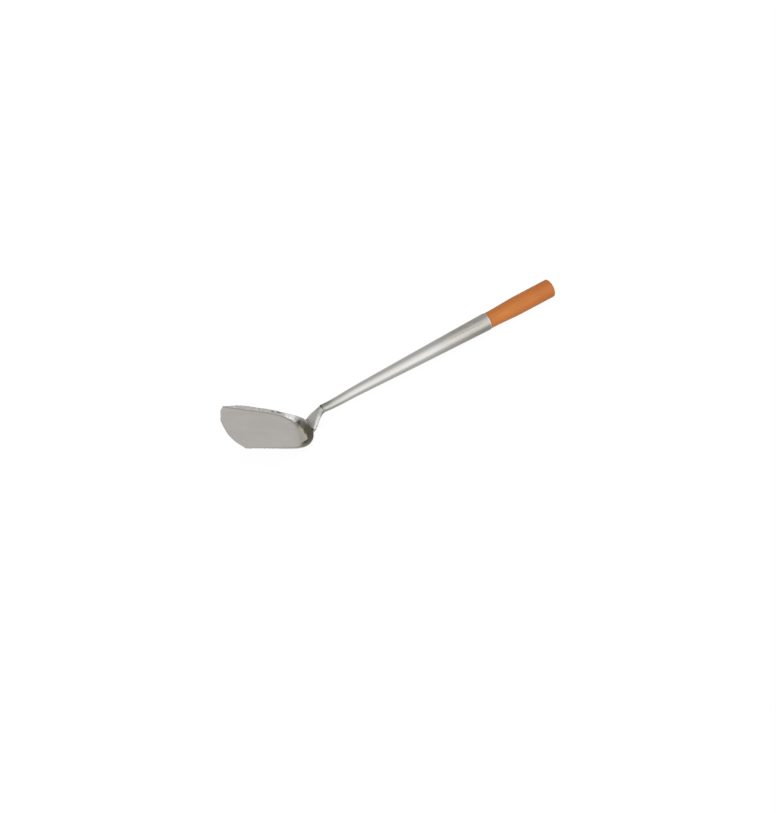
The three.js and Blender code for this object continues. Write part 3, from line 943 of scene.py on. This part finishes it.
def map_range(tree, value, start, end, at_start, at_end, interpolation="LINEAR"):
    return add_node(tree, "ShaderNodeMapRange", {
        "Value": value, "From Min": start, "From Max": end, "To Min": at_start, "To Max": at_end},
        interpolation_type=interpolation).outputs["Result"]


def fade(tree, value, start, end, at_start=0, at_end=1):
    """Changes softly from one number to another while the value runs from start to end."""
    return map_range(tree, value, start, end, at_start, at_end, "SMOOTHSTEP")


def band(tree, value, start, full, leaving, end):
    """A mask that rises between start and full, and falls back between leaving and end."""
    return times(tree, fade(tree, value, start, full), fade(tree, value, leaving, end, 1, 0))


def noise_mask(tree, vector, scale, low, high, strength):
    """A soft mask that is 0 where a noise is below low, and rises to the strength at high."""
    return fade(tree, noise_at(tree, vector, scale, 2.0), low, high, 0, strength)


def mix_colours(tree, share, first, second):
    """A colour mix whose colours are sockets or plain colours."""
    first, second = (colour if isinstance(colour, bpy.types.NodeSocket) else (*colour, 1)
                     for colour in (first, second))
    return add_node(tree, "ShaderNodeMix", {0: share, 6: first, 7: second}, data_type="RGBA").outputs[2]


def colour_ramp(tree, share, stops):
    """A colour ramp from (place, colour) stops."""
    ramp = add_node(tree, "ShaderNodeValToRGB", {0: share})
    elements = ramp.color_ramp.elements
    first, *between, last = stops
    for element, (place, colour) in zip(elements, (first, last)):
        element.position = place
        element.color = (*colour, 1)
    for place, colour in between:
        elements.new(place).color = (*colour, 1)
    return ramp.outputs[0]


print("a share of 0.25 on a smooth fade gives", round(smooth_step(0.25), 3))

# %% [markdown]
# ## Effects that several pieces share
#
# Ground lines, signs of handling and the colours of heat turn up on more than one piece. They could be copied
# into each material, but a node group is made once, has named inputs and is placed with other values each
# time. The groups only give masks, colours and heights. The shader stays in the material.

# %% Helpers for node groups
def new_group(name, inputs, outputs):
    """A shader node group, from {name: socket type} of what goes in and out."""
    group = bpy.data.node_groups.new(name, "ShaderNodeTree")
    for in_out, sockets in (("INPUT", inputs), ("OUTPUT", outputs)):
        for socket, kind in sockets.items():
            group.interface.new_socket(socket, in_out=in_out, socket_type=kind)
    source = group.nodes.new("NodeGroupInput")
    result = group.nodes.new("NodeGroupOutput")
    return group, source.outputs, result.inputs


def use_group(tree, group, **inputs):
    return add_node(tree, "ShaderNodeGroup", inputs, node_tree=group).outputs


print("node groups so far:", len(bpy.data.node_groups))

# %% [markdown]
# ## Polishing lines
#
# Sheet that has been ground on a belt carries thousands of fine parallel scratches. An image of scratches
# would repeat, so a noise is used, squeezed across the lines and stretched along them. The group gives a
# tone for the colour and roughness, and a height for a bump. All the steels use it, each at its own scale,
# and the wood uses it for its pores.

# %% Make the polishing lines group
def make_polishing_lines():
    group, source, result = new_group(
        "polishing_lines",
        {"Vector": "NodeSocketVector", "Fineness": "NodeSocketFloat", "Stretch": "NodeSocketFloat"},
        {"Tone": "NodeSocketFloat", "Height": "NodeSocketFloat"})
    across = source["Fineness"]
    along = math_node(group, "DIVIDE", across, source["Stretch"])
    scale = add_node(group, "ShaderNodeCombineXYZ", {0: along, 1: across, 2: across}).outputs[0]
    stretched = vector_node(group, "MULTIPLY", source["Vector"], scale)[0]
    fine = noise_at(group, stretched, 1.0, 5.0, Roughness=0.62)
    broad = noise_at(group, stretched, 0.16, 3.0, Roughness=0.5)
    both = math_node(group, "ADD", times(group, fine, 0.6), times(group, broad, 0.4))
    group.links.new(map_range(group, both, 0.36, 0.64, 0, 1), result["Tone"])
    group.links.new(fine, result["Height"])
    return group


polishing_lines = make_polishing_lines()
print("group", polishing_lines.name)

# %% [markdown]
# ## Handling marks
#
# A used tool is never evenly bright. Wiping and fingers leave soft patches that are a little duller than the
# rest. Two noises of different size give patches and specks without a visible grid, and the wide one is
# warped so that the patches aren't round.

# %% Make the handling marks group
def make_handling_marks():
    group, source, result = new_group(
        "handling_marks",
        {"Vector": "NodeSocketVector", "Fineness": "NodeSocketFloat"},
        {"Patches": "NodeSocketFloat", "Specks": "NodeSocketFloat"})
    wide = noise_at(group, source["Vector"], source["Fineness"], 2.0, Distortion=0.6)
    small = noise_at(group, source["Vector"], times(group, source["Fineness"], 9.0), 4.0, Roughness=0.7)
    group.links.new(fade(group, wide, 0.35, 0.65), result["Patches"])
    group.links.new(map_range(group, small, 0.58, 0.72, 0, 1), result["Specks"])
    return group


handling_marks = make_handling_marks()
print("group", handling_marks.name)

# %% [markdown]
# ## Heat tint
#
# Next to a weld, steel turns straw, then brown, then a dull olive grey, and the colour fades with distance.
# The group takes the distance from the hottest place as a number, breaks it up with a noise and turns it
# into a colour and an amount. It could be a picture painted for each piece, but blade and tube both have a
# weld, so both use the one group.

# %% Make the heat tint group
TINT_STOPS = ((0.0, (0.155, 0.142, 0.105)), (0.42, (0.19, 0.173, 0.135)), (0.60, (0.30, 0.27, 0.23)),
              (1.0, (0.50, 0.46, 0.40)))


def make_heat_tint():
    group, source, result = new_group(
        "heat_tint",
        {"Vector": "NodeSocketVector", "Distance": "NodeSocketFloat", "Reach": "NodeSocketFloat"},
        {"Colour": "NodeSocketColor", "Amount": "NodeSocketFloat"})
    share = math_node(group, "DIVIDE", source["Distance"], source["Reach"])
    uneven = noise_at(group, source["Vector"], 190.0, 3.0)
    share = math_node(group, "ADD", share, map_range(group, uneven, 0, 1, -0.16, 0.16))
    blotches = noise_mask(group, source["Vector"], 420.0, 0.48, 0.68, 0.7)
    colour = mix_colours(group, blotches, colour_ramp(group, share, TINT_STOPS), (0.29, 0.26, 0.225))
    group.links.new(colour, result["Colour"])
    group.links.new(fade(group, share, 0.90, 1.0, 1, 0), result["Amount"])
    return group


heat_tint = make_heat_tint()
print("group", heat_tint.name)

# %% [markdown]
# ## A steel to start from
#
# All the steels share one plan: a base colour that the polishing lines and the handling marks change a
# little, a roughness that follows the same two masks, and a bump from the lines. The lines run along the
# piece and not along the room, so a Mapping node first undoes the piece's placing. One function builds this
# much and hands the network back, so each piece can still add what only it has.

# %% Helpers for every material
def new_material(name):
    material = bpy.data.materials.new(name)
    material.use_nodes = True
    return material, material.node_tree, material.node_tree.nodes["Principled BSDF"]


def own_axes(tree, placement):
    """The shaded point in the piece's own axes, which undoes the matrix that put the piece in place."""
    here = add_node(tree, "ShaderNodeTexCoord").outputs["Object"]
    return add_node(tree, "ShaderNodeMapping", {
        "Vector": here, "Location": placement.to_translation(), "Rotation": placement.to_euler()},
        vector_type="TEXTURE").outputs[0]


def add_bump(tree, shader, height, strength, depth):
    bump = add_node(tree, "ShaderNodeBump", {"Height": height, "Strength": strength, "Distance": depth})
    tree.links.new(bump.outputs[0], shader.inputs["Normal"])


print("the handle's axis leans", round(math.degrees(handle_place.to_euler().y), 1), "degrees")

# %% Helpers that start and end a steel
MARKS_FINENESS = 38.0
LINE_SHADE = 0.93
PATCH_SHADE = 0.95
PATCH_SHARE = 0.35
PATCH_ROUGHNESS = 0.05
SPECK_ROUGHNESS = 0.04
LINE_STRENGTH = 0.35


def darker(colour, share):
    return tuple(channel * share for channel in colour)


def start_steel(name, placement, colour, fineness, stretch, roughness, line_depth):
    material, tree, shader = new_material(name)
    shader.inputs["Metallic"].default_value = 1.0
    place = own_axes(tree, placement)
    lines = use_group(tree, polishing_lines, Vector=place, Fineness=fineness, Stretch=stretch)
    marks = use_group(tree, handling_marks, Vector=place, Fineness=MARKS_FINENESS)
    toned = mix_colours(tree, lines["Tone"], darker(colour, LINE_SHADE), colour)
    patches = times(tree, marks["Patches"], PATCH_SHARE)
    dulled = mix_colours(tree, patches, toned, darker(colour, PATCH_SHADE))
    rough = map_range(tree, lines["Tone"], 0, 1, roughness * 1.12, roughness * 0.92)
    rough = math_node(tree, "ADD", rough, times(tree, marks["Patches"], PATCH_ROUGHNESS))
    rough = math_node(tree, "ADD", rough, times(tree, marks["Specks"], SPECK_ROUGHNESS), clamp=True)
    add_bump(tree, shader, lines["Height"], LINE_STRENGTH, line_depth)
    return SimpleNamespace(material=material, tree=tree, shader=shader, place=place, colour=dulled,
                           rough=rough)


def lay_colour(steel, mask, colour):
    """Lays a colour over the steel, as strongly as the mask says."""
    steel.colour = mix_colours(steel.tree, mask, steel.colour, colour)


def finish_steel(steel, *pieces):
    steel.tree.links.new(steel.colour, steel.shader.inputs["Base Color"])
    steel.tree.links.new(steel.rough, steel.shader.inputs["Roughness"])
    for piece in pieces:
        piece.data.materials.append(steel.material)
    print("finish", steel.material.name, "has", len(steel.tree.nodes), "nodes")


print("a steel's lines darken it to", LINE_SHADE, "and its patches to", PATCH_SHADE)

# %% [markdown]
# ## The blade's satin steel
#
# The floor is satin and very even. The rim gets a paler colour, a painted highlight, with small dark specks
# and with darker patches that paint the wavy reflections of the sheet's puckers. It is nicked along its lip,
# and a painted shade darkens the lip on the near side. A thin painted dark reflection runs along the crease.
# The back wall, where the sheet was drawn hardest and then heated by the weld, is a dark olive that starts in
# the bend, with a few dark spots and with a rough straw strip beside it. Such marks follow the rim, so a mask
# in plain coordinates would cut across them. The section rows have kept each point's place round and up the
# rim, in metres, and an Attribute node reads it.

# %% Helpers for marks along the rim
RIM_LENGTH = 2 * crease.half_length * MM
# The middle of the tint, as a share round the blade. The heat spread further to the near side of the weld.
TINT_MIDDLE = 0.443


def kept_place(tree, note):
    return add_node(tree, "ShaderNodeAttribute", attribute_name=note).outputs["Vector"]


def rim_marks(tree):
    """Masks of the blade's rim, from the places that its points have kept."""
    kept = kept_place(tree, "rim_place")
    along, up, below_lip = split(tree, kept)
    off_middle = math_node(tree, "ABSOLUTE", math_node(tree, "SUBTRACT", along, TINT_MIDDLE))
    return SimpleNamespace(
        kept=kept, along=along, up=up, below_lip=below_lip,
        from_middle=times(tree, off_middle, RIM_LENGTH),
        near_side=band(tree, along, 0.12, 0.20, 0.30, 0.36),
        on_rim=fade(tree, up, 0.0008, 0.0030),
        crease_dark_reflection=band(tree, up, -0.0006, 0.0006, 0.0012, 0.0030))


def weighted_distance(tree, vector, point, weights):
    """Distance from a point, with each axis of the vector weighted."""
    away = vector_node(tree, "SUBTRACT", vector, point)[0]
    return vector_node(tree, "LENGTH", vector_node(tree, "MULTIPLY", away, weights)[0])["Value"]


print("the rim is", round(RIM_LENGTH / MM), "mm long round the blade")


# %% Paint the rim's highlight and shade, and mark it
def mark_rim(steel, rim):
    tree = steel.tree
    # Painted highlight: the rim is given a paler colour than the floor.
    lay_colour(steel, rim.on_rim, (0.90, 0.88, 0.85))
    spotted = noise_mask(tree, steel.place, 560.0, 0.50, 0.66, 0.32)
    lay_colour(steel, times(tree, spotted, rim.on_rim), (0.46, 0.435, 0.41))
    round_rim = vector_node(tree, "MULTIPLY", rim.kept, (95, 0, 480))[0]
    # Painted reflection: darker patches along the rim stand in for the wavy reflections of the sheet's
    # puckers.
    pucker_reflections = noise_mask(tree, round_rim, 0.7, 0.40, 0.60, 0.55)
    lay_colour(steel, times(tree, pucker_reflections, rim.on_rim), (0.56, 0.54, 0.51))
    nicked = noise_mask(tree, round_rim, 1.0, 0.58, 0.66, 0.6)
    by_lip = fade(tree, rim.below_lip, 0.0016, 0.0032, 1, 0)
    lay_colour(steel, times(tree, nicked, by_lip), (0.30, 0.285, 0.265))
    # Painted shade: the lip on the near side is darker.
    near_lip_shade = fade(tree, rim.below_lip, 0.0006, 0.0026, 0.62, 0)
    lay_colour(steel, times(tree, near_lip_shade, rim.near_side), (0.34, 0.32, 0.29))
    # Painted dark reflection: a thin darker line along the crease.
    lay_colour(steel, times(tree, rim.crease_dark_reflection, 0.7), (0.50, 0.475, 0.45))
    print("the rim is marked, with", len(tree.nodes), "nodes so far")


# %% Tint the back wall
# How the start of the tint moves up the wall: two shares round the blade, and the move in metres at each.
TINT_SHIFTS = ((0.365, 0.420, -0.0040, 0.0014), (0.535, 0.570, 0, -0.0016), (0.305, 0.355, 0.0034, 0))
TINT_REACH = 0.0395
# Each dark spot: its share round the blade, its way up from the bend, its size and its strength.
DARK_SPOTS = ((0.580, 0.0056, 0.0050, 0.8), (0.702, 0.0064, 0.0030, 0.75), (0.733, 0.0052, 0.0022, 0.6))
SPOT_STRETCH = 0.65


def tinted_wall(steel, rim):
    """Where the back wall is tinted: above the bend, lower down at the near corner, less by the far lip."""
    tree = steel.tree
    start = noise_mask(tree, steel.place, 300.0, 0.36, 0.64, 0.0012)
    for shift in TINT_SHIFTS:
        start = math_node(tree, "ADD", start, fade(tree, rim.along, *shift))
    above_start = fade(tree, math_node(tree, "SUBTRACT", rim.up, start), 0, 0.0028)
    paler = times(tree, fade(tree, rim.along, 0.480, 0.530, 0, 0.75),
                  fade(tree, rim.below_lip, 0.0006, 0.0044, 1, 0))
    return times(tree, above_start, math_node(tree, "SUBTRACT", 1.0, paler))


def straw_strip(tree, rim):
    beside_bend = band(tree, rim.up, -0.0062, -0.0022, 0.0030, 0.0055)
    at_back = times(tree, fade(tree, rim.from_middle, 0.022, 0.034, 1, 0),
                    fade(tree, rim.along, 0.520, 0.565, 1, 0.15))
    return times(tree, beside_bend, at_back)


def tint_back(steel, rim):
    tree = steel.tree
    straw = straw_strip(tree, rim)
    lay_colour(steel, straw, (0.80, 0.765, 0.685))
    tint = use_group(tree, heat_tint, Vector=steel.place, Distance=rim.from_middle, Reach=TINT_REACH)
    amount = times(tree, tinted_wall(steel, rim), tint["Amount"])
    lay_colour(steel, amount, tint["Colour"])
    for along, up, size, strength in DARK_SPOTS:
        away = weighted_distance(tree, rim.kept, (along, up, 0), (RIM_LENGTH * SPOT_STRETCH, 1, 0))
        lay_colour(steel, fade(tree, away, size * 0.12, size, strength, 0), (0.10, 0.092, 0.075))
    steel.rough = math_node(tree, "ADD", steel.rough, times(tree, straw, 0.32))
    steel.rough = math_node(tree, "ADD", steel.rough, times(tree, amount, 0.25), clamp=True)


def finish_blade():
    steel = start_steel("satin_blade_steel", tool_place, (0.72, 0.683, 0.652),
                        fineness=900.0, stretch=22.0, roughness=0.30, line_depth=0.00005)
    rim = rim_marks(steel.tree)
    mark_rim(steel, rim)
    tint_back(steel, rim)
    finish_steel(steel, blade)


finish_blade()

# %% [markdown]
# ## The neck and the beads
#
# The neck has the blade's steel with a coarser grain, a faint warm tint at its foot and a duller, slightly
# green colour towards the tube, which is also a painted shade that dims its reflection there. Its flanges get
# a painted highlight beside their cut edges, a darker painted shade higher up, and the edges are nicked and
# dark. They could be modelled as real notches, but at this size a noise that only acts close to the edge
# looks the same. The beads are dull, with a fine crust, and a dark painted shade lies on the crown of the
# tube's bead.

# %% Finish the neck
def finish_neck():
    steel = start_steel("pressed_neck_steel", tool_place, (0.70, 0.685, 0.66),
                        fineness=700.0, stretch=8.0, roughness=0.34, line_depth=0.00008)
    tree = steel.tree
    up, from_edge, _ = split(tree, kept_place(tree, "neck_place"))
    lay_colour(steel, fade(tree, up, 0.001, 0.011, 0.85, 0), (0.56, 0.515, 0.47))
    # Towards the tube: a duller, slightly green colour that is also a painted shade, dimming the reflection
    # there.
    lay_colour(steel, fade(tree, up, 0.014, 0.026, 0, 0.75), (0.545, 0.55, 0.50))
    # Painted highlight: the flanges are paler beside their cut edges, where they catch the light.
    flange_highlight = times(tree, fade(tree, from_edge, 0.0022, 0.0044, 0.85, 0),
                      fade(tree, up, 0.016, 0.022, 1, 0))
    lay_colour(steel, flange_highlight, (0.90, 0.89, 0.87))
    # Painted shade: the upper flanks are darker, to dim their reflection.
    upper_flank_shade = times(tree, fade(tree, from_edge, 0.0045, 0.0072, 0.8, 0), fade(tree, up, 0.015, 0.021))
    lay_colour(steel, upper_flank_shade, (0.42, 0.42, 0.375))
    nicked = times(tree, fade(tree, from_edge, 0.0012, 0.0032, 1, 0),
                   noise_mask(tree, steel.place, 300.0, 0.51, 0.58, 0.8))
    lay_colour(steel, nicked, (0.16, 0.15, 0.14))
    finish_steel(steel, neck)


finish_neck()


# %% Finish the beads
def finish_beads():
    steel = start_steel("weld_bead_steel", tool_place, (0.55, 0.52, 0.475),
                        fineness=1500.0, stretch=1.2, roughness=0.42, line_depth=0.00012)
    tree = steel.tree
    crust = add_node(tree, "ShaderNodeTexVoronoi", {"Vector": steel.place, "Scale": 1400.0}, feature="F1")
    lay_colour(steel, map_range(tree, crust.outputs["Distance"], 0.1, 0.7, 0.65, 0), (0.30, 0.28, 0.245))
    _, across, up = split(tree, steel.place)
    # Painted shade: the crown of the tube's bead is dark, most on its far half.
    crown_shade = times(tree, fade(tree, up, 0.020, 0.026), fade(tree, across, -0.0050, -0.0030, 0.35, 1))
    lay_colour(steel, crown_shade, (0.17, 0.16, 0.135))
    finish_steel(steel, neck_bead, tube_bead)


finish_beads()

# %% [markdown]
# ## The polished tube
#
# The tube was polished along its length after rolling, so its lines are long and it is brighter than the
# rest. Near the neck it is darker: partly dull from the weld, partly a painted shade that dims its highlight,
# and its crown right by the joint gets a darker painted shade. Towards the grip, where hands have worn it, it
# is duller, warmer and scuffed, and a painted shade darkens its underside there. One way would be a wear map
# painted over the whole tube, but all of these marks only depend on the place along it and round it, so fades
# along the handle's own axes are enough. The rollers left a faint broken line along its side, and the lip
# that holds the wood gets a painted highlight.

# %% Finish the tube
def roller_line(steel, along, across, up):
    """A faint broken line that the rollers left along the tube's side, near the grip."""
    tree = steel.tree
    turn = math_node(tree, "ARCTAN2", up, times(tree, across, -1.0))
    drift = map_range(tree, along, 0.190, 0.240, 0.79, 0.66)
    away = math_node(tree, "ABSOLUTE", math_node(tree, "SUBTRACT", turn, drift))
    return times(tree, fade(tree, away, 0.012, 0.060, 0.7, 0),
                 noise_mask(tree, steel.place, 700.0, 0.36, 0.52, 1),
                 band(tree, along, 0.185, 0.197, 0.236, 0.243))


def finish_tube():
    steel = start_steel("polished_tube_steel", handle_place, (0.78, 0.77, 0.745),
                        fineness=620.0, stretch=60.0, roughness=0.27, line_depth=0.00006)
    tree = steel.tree
    along, across, up = split(tree, steel.place)
    near_grip = fade(tree, along, 0.150, 0.225)
    lay_colour(steel, near_grip, (0.61, 0.573, 0.525))
    scuffs = use_group(tree, polishing_lines, Vector=steel.place, Fineness=520.0, Stretch=7.0)
    scuffed = map_range(tree, scuffs["Tone"], 0.15, 0.55, 0.7, 0)
    lay_colour(steel, times(tree, near_grip, scuffed), (0.42, 0.40, 0.37))
    # Darker near the neck: partly dulled by the weld, partly a painted shade that dims the highlight.
    lay_colour(steel, fade(tree, along, 0.010, 0.050, 0.85, 0), (0.60, 0.60, 0.555))
    # Painted shade: the crown right by the joint is darker.
    joint_shade = times(tree, fade(tree, along, 0.005, 0.022, 0.9, 0), fade(tree, across, -0.0053, -0.0041))
    lay_colour(steel, joint_shade, (0.36, 0.36, 0.315))
    # Painted shade: the underside near the grip is darker.
    underside_shade = times(tree, fade(tree, along, 0.205, 0.240, 0, 0.85), fade(tree, up, -0.0015, 0.0045, 1, 0))
    lay_colour(steel, underside_shade, (0.46, 0.45, 0.40))
    # Painted highlight on the rolled lip that holds the wood.
    lay_colour(steel, fade(tree, along, 0.2484, 0.2494, 0, 0.8), (0.76, 0.745, 0.72))
    tint = use_group(tree, heat_tint, Vector=steel.place, Distance=along, Reach=0.004)
    lay_colour(steel, times(tree, tint["Amount"], 0.3), tint["Colour"])
    lay_colour(steel, roller_line(steel, along, across, up), (0.33, 0.31, 0.285))
    finish_steel(steel, tube)


finish_tube()

# %% Finish the nail
nail_steel = start_steel("nail_steel", nail_place, (0.61, 0.60, 0.565),
                         fineness=1600.0, stretch=1.5, roughness=0.36, line_depth=0.00006)
finish_steel(nail_steel, nail)

# %% [markdown]
# ## Varnished wood
#
# The grip is a plain orange-brown hardwood under a thin varnish, a little darker towards its end.
# Wood is a stack of growth rings, so the grain is a set of nested shells that run along the grip, bent by a
# slow noise. Fine pores are short dark streaks along X. A picture of a board could be wrapped round the grip
# instead, but on the domed end the same rings come out as curves without any extra work, because the pattern
# lives in space and not on the surface.

# %% Finish the grip
def wood_colour(tree, place, pores, patches):
    bend = add_node(tree, "ShaderNodeMapping", {
        "Vector": place, "Location": (0.0, 0.031, -0.017), "Scale": (0.09, 1.0, 1.0)}).outputs[0]
    rings = add_node(tree, "ShaderNodeTexWave", {
        "Vector": bend, "Scale": 150.0, "Distortion": 7.0, "Detail": 3.0, "Detail Scale": 0.35,
        "Detail Roughness": 0.55}, wave_type="RINGS", rings_direction="X", wave_profile="SIN")
    ringed = mix_colours(tree, map_range(tree, rings.outputs["Fac"], 0, 1, 0, 0.55),
                         (0.73, 0.243, 0.037), (0.64, 0.188, 0.027))
    slow = noise_at(tree, bend, 60.0, 2.0)
    warmed = mix_colours(tree, map_range(tree, slow, 0.35, 0.65, 0, 0.6), ringed, (0.76, 0.20, 0.030))
    porous = mix_colours(tree, map_range(tree, pores, 0.0, 0.34, 0.42, 0), warmed, (0.33, 0.10, 0.025))
    handled = mix_colours(tree, times(tree, patches, 0.22), porous, (0.50, 0.18, 0.05))
    # Darker towards the end of the grip.
    held = fade(tree, split(tree, place)[0], 0.275, 0.350, 0, 0.35)
    return mix_colours(tree, held, handled, (0.50, 0.135, 0.018))


def finish_grip():
    material, tree, shader = new_material("varnished_grip_wood")
    place = own_axes(tree, handle_place)
    streaks = use_group(tree, polishing_lines, Vector=place, Fineness=1500.0, Stretch=26.0)
    patches = use_group(tree, handling_marks, Vector=place, Fineness=45.0)["Patches"]
    tree.links.new(wood_colour(tree, place, streaks["Tone"], patches), shader.inputs["Base Color"])
    tree.links.new(map_range(tree, patches, 0, 1, 0.46, 0.58), shader.inputs["Roughness"])
    add_bump(tree, shader, streaks["Height"], 0.25, 0.0001)
    shader.inputs["Coat Weight"].default_value = 0.25
    shader.inputs["Coat Roughness"].default_value = 0.35
    shader.inputs["Specular IOR Level"].default_value = 0.35
    grip.data.materials.append(material)
    print("finish", material.name, "has", len(tree.nodes), "nodes")


finish_grip()

# %% [markdown]
# ## The studio
#
# Polished steel shows its surroundings, so the light is designed by what the metal should reflect: the
# blade looks at the low back of the studio, the tube at its front and its ceiling. The room is a soft tent
# that is brightest towards the camera and falls off to grey behind, with a paler strip low at the back,
# where the paper sweep ends. A colour ramp over the direction's Y is enough for that, and keeps every
# reflection soft. The camera itself sees white paper, so that no edge shows where the floor ends.

# %% Light the tent
# From the front of the tent, at 0, to the back, at 1.
TENT_STOPS = ((0.0, (1, 1, 1)), (0.29, (0.74, 0.74, 0.74)), (0.57, (0.445, 0.445, 0.445)),
              (0.84, (0.41, 0.408, 0.405)))
TENT_STRENGTH = 1.15


def light_tent():
    world = bpy.data.worlds.new("light_tent")
    bpy.context.scene.world = world
    world.use_nodes = True
    tree = world.node_tree
    _, back, up = split(tree, add_node(tree, "ShaderNodeTexCoord").outputs["Generated"])
    tent = colour_ramp(tree, map_range(tree, back, -1, 1, 0, 1), TENT_STOPS)
    sweep_end = times(tree, fade(tree, up, 0.10, 0.26, 1, 0), fade(tree, back, 0.35, 0.65))
    room = mix_colours(tree, sweep_end, tent, (0.665, 0.657, 0.652))
    to_camera = add_node(tree, "ShaderNodeLightPath").outputs["Is Camera Ray"]
    background = tree.nodes["Background"]
    tree.links.new(mix_colours(tree, to_camera, room, (0.87, 0.87, 0.87)), background.inputs["Color"])
    background.inputs["Strength"].default_value = TENT_STRENGTH
    print("the tent has", len(tree.nodes), "nodes")


light_tent()

# %% [markdown]
# ## A softbox for the rim
#
# The rim is brighter than the tent alone would make it. A photographer would hang one more softbox above it,
# and hold a black flag between the softbox and what it shouldn't light. A stronger tent would wash out the
# tube as well, so light linking plays the flag: only the blade is lit.

# %% Hang the softbox
SOFTBOX_WIDTH = 0.56
SOFTBOX_HEIGHT = 0.2
SOFTBOX_BRIGHTNESS = 1.2


def hang_softbox(name, place, aim, lit_piece):
    """An area light whose brightness is what the metal sees in it, where white paper is 1."""
    light = bpy.data.lights.new(name, "AREA")
    light.shape = "RECTANGLE"
    light.size = SOFTBOX_WIDTH
    light.size_y = SOFTBOX_HEIGHT
    light.energy = SOFTBOX_BRIGHTNESS * math.pi * SOFTBOX_WIDTH * SOFTBOX_HEIGHT
    softbox = bpy.data.objects.new(name, light)
    bpy.context.scene.collection.objects.link(softbox)
    softbox.location = place
    softbox.rotation_euler = (aim - place).to_track_quat("-Z", "Y").to_euler()
    lit = bpy.data.collections.new(name + "_lights")
    lit.objects.link(lit_piece)
    softbox.light_linking.receiver_collection = lit
    print(name, "gives", round(light.energy, 1), "W")


hang_softbox("rim_softbox", Vector((0.02, 0.2, 0.8)), Vector((-0.12, 0.02, 0.02)), blade)
bpy.context.scene.view_settings.view_transform = "Standard"

# %% [markdown]
# ## The paper floor
#
# The photograph's paper is almost pure white. Light strong enough for that would wash out the tool too, so
# the paper that the camera sees glows by itself and takes only a little light, which keeps a faint shadow.
# The metal sees another paper that glows, white in front of the tool and grey behind it, a painted shade
# where the paper lies in the tool's shade. Light Path tells the two apart. From below the floor is open, so
# that the tool's underside can be looked at too.

# %% Lay the floor
FLOOR_REACH = 6.0
FLOOR_GAP = 0.0002


def paper_material():
    material, tree, paper = new_material("white_paper")
    paper.inputs["Base Color"].default_value = (0.12, 0.12, 0.12, 1)
    paper.inputs["Roughness"].default_value = 0.9
    paper.inputs["Specular IOR Level"].default_value = 0.0
    paper.inputs["Emission Color"].default_value = (1, 1, 1, 1)
    paper.inputs["Emission Strength"].default_value = 0.93
    here = add_node(tree, "ShaderNodeTexCoord").outputs["Object"]
    # Painted shade: the glowing paper that the metal sees is grey behind the tool.
    shade_behind_tool = fade(tree, split(tree, here)[1], -0.09, -0.01)
    reflected = mix_colours(tree, shade_behind_tool, (1.0, 1.0, 1.0), (0.48, 0.48, 0.475))
    glow = add_node(tree, "ShaderNodeEmission", {"Color": reflected}).outputs[0]
    to_camera = add_node(tree, "ShaderNodeLightPath").outputs["Is Camera Ray"]
    above = add_node(tree, "ShaderNodeMixShader", {0: to_camera, 1: glow, 2: paper.outputs[0]}).outputs[0]
    clear = add_node(tree, "ShaderNodeBsdfTransparent").outputs[0]
    below = add_node(tree, "ShaderNodeNewGeometry").outputs["Backfacing"]
    either = add_node(tree, "ShaderNodeMixShader", {0: below, 1: above, 2: clear}).outputs[0]
    tree.links.new(either, tree.nodes["Material Output"].inputs["Surface"])
    return material


def lay_floor():
    mesh = bpy.data.meshes.new("floor")
    corners = [(FLOOR_REACH * x, FLOOR_REACH * y, 0) for x, y in ((-1, -1), (1, -1), (1, 1), (-1, 1))]
    mesh.from_pydata(corners, [], [(0, 1, 2, 3)])
    floor = bpy.data.objects.new("floor", mesh)
    bpy.context.scene.collection.objects.link(floor)
    floor.location.z = packed_box[0].z - FLOOR_GAP
    mesh.materials.append(paper_material())
    return floor


floor = lay_floor()
print("floor lies at", round(floor.location.z / MM, 2), "mm")
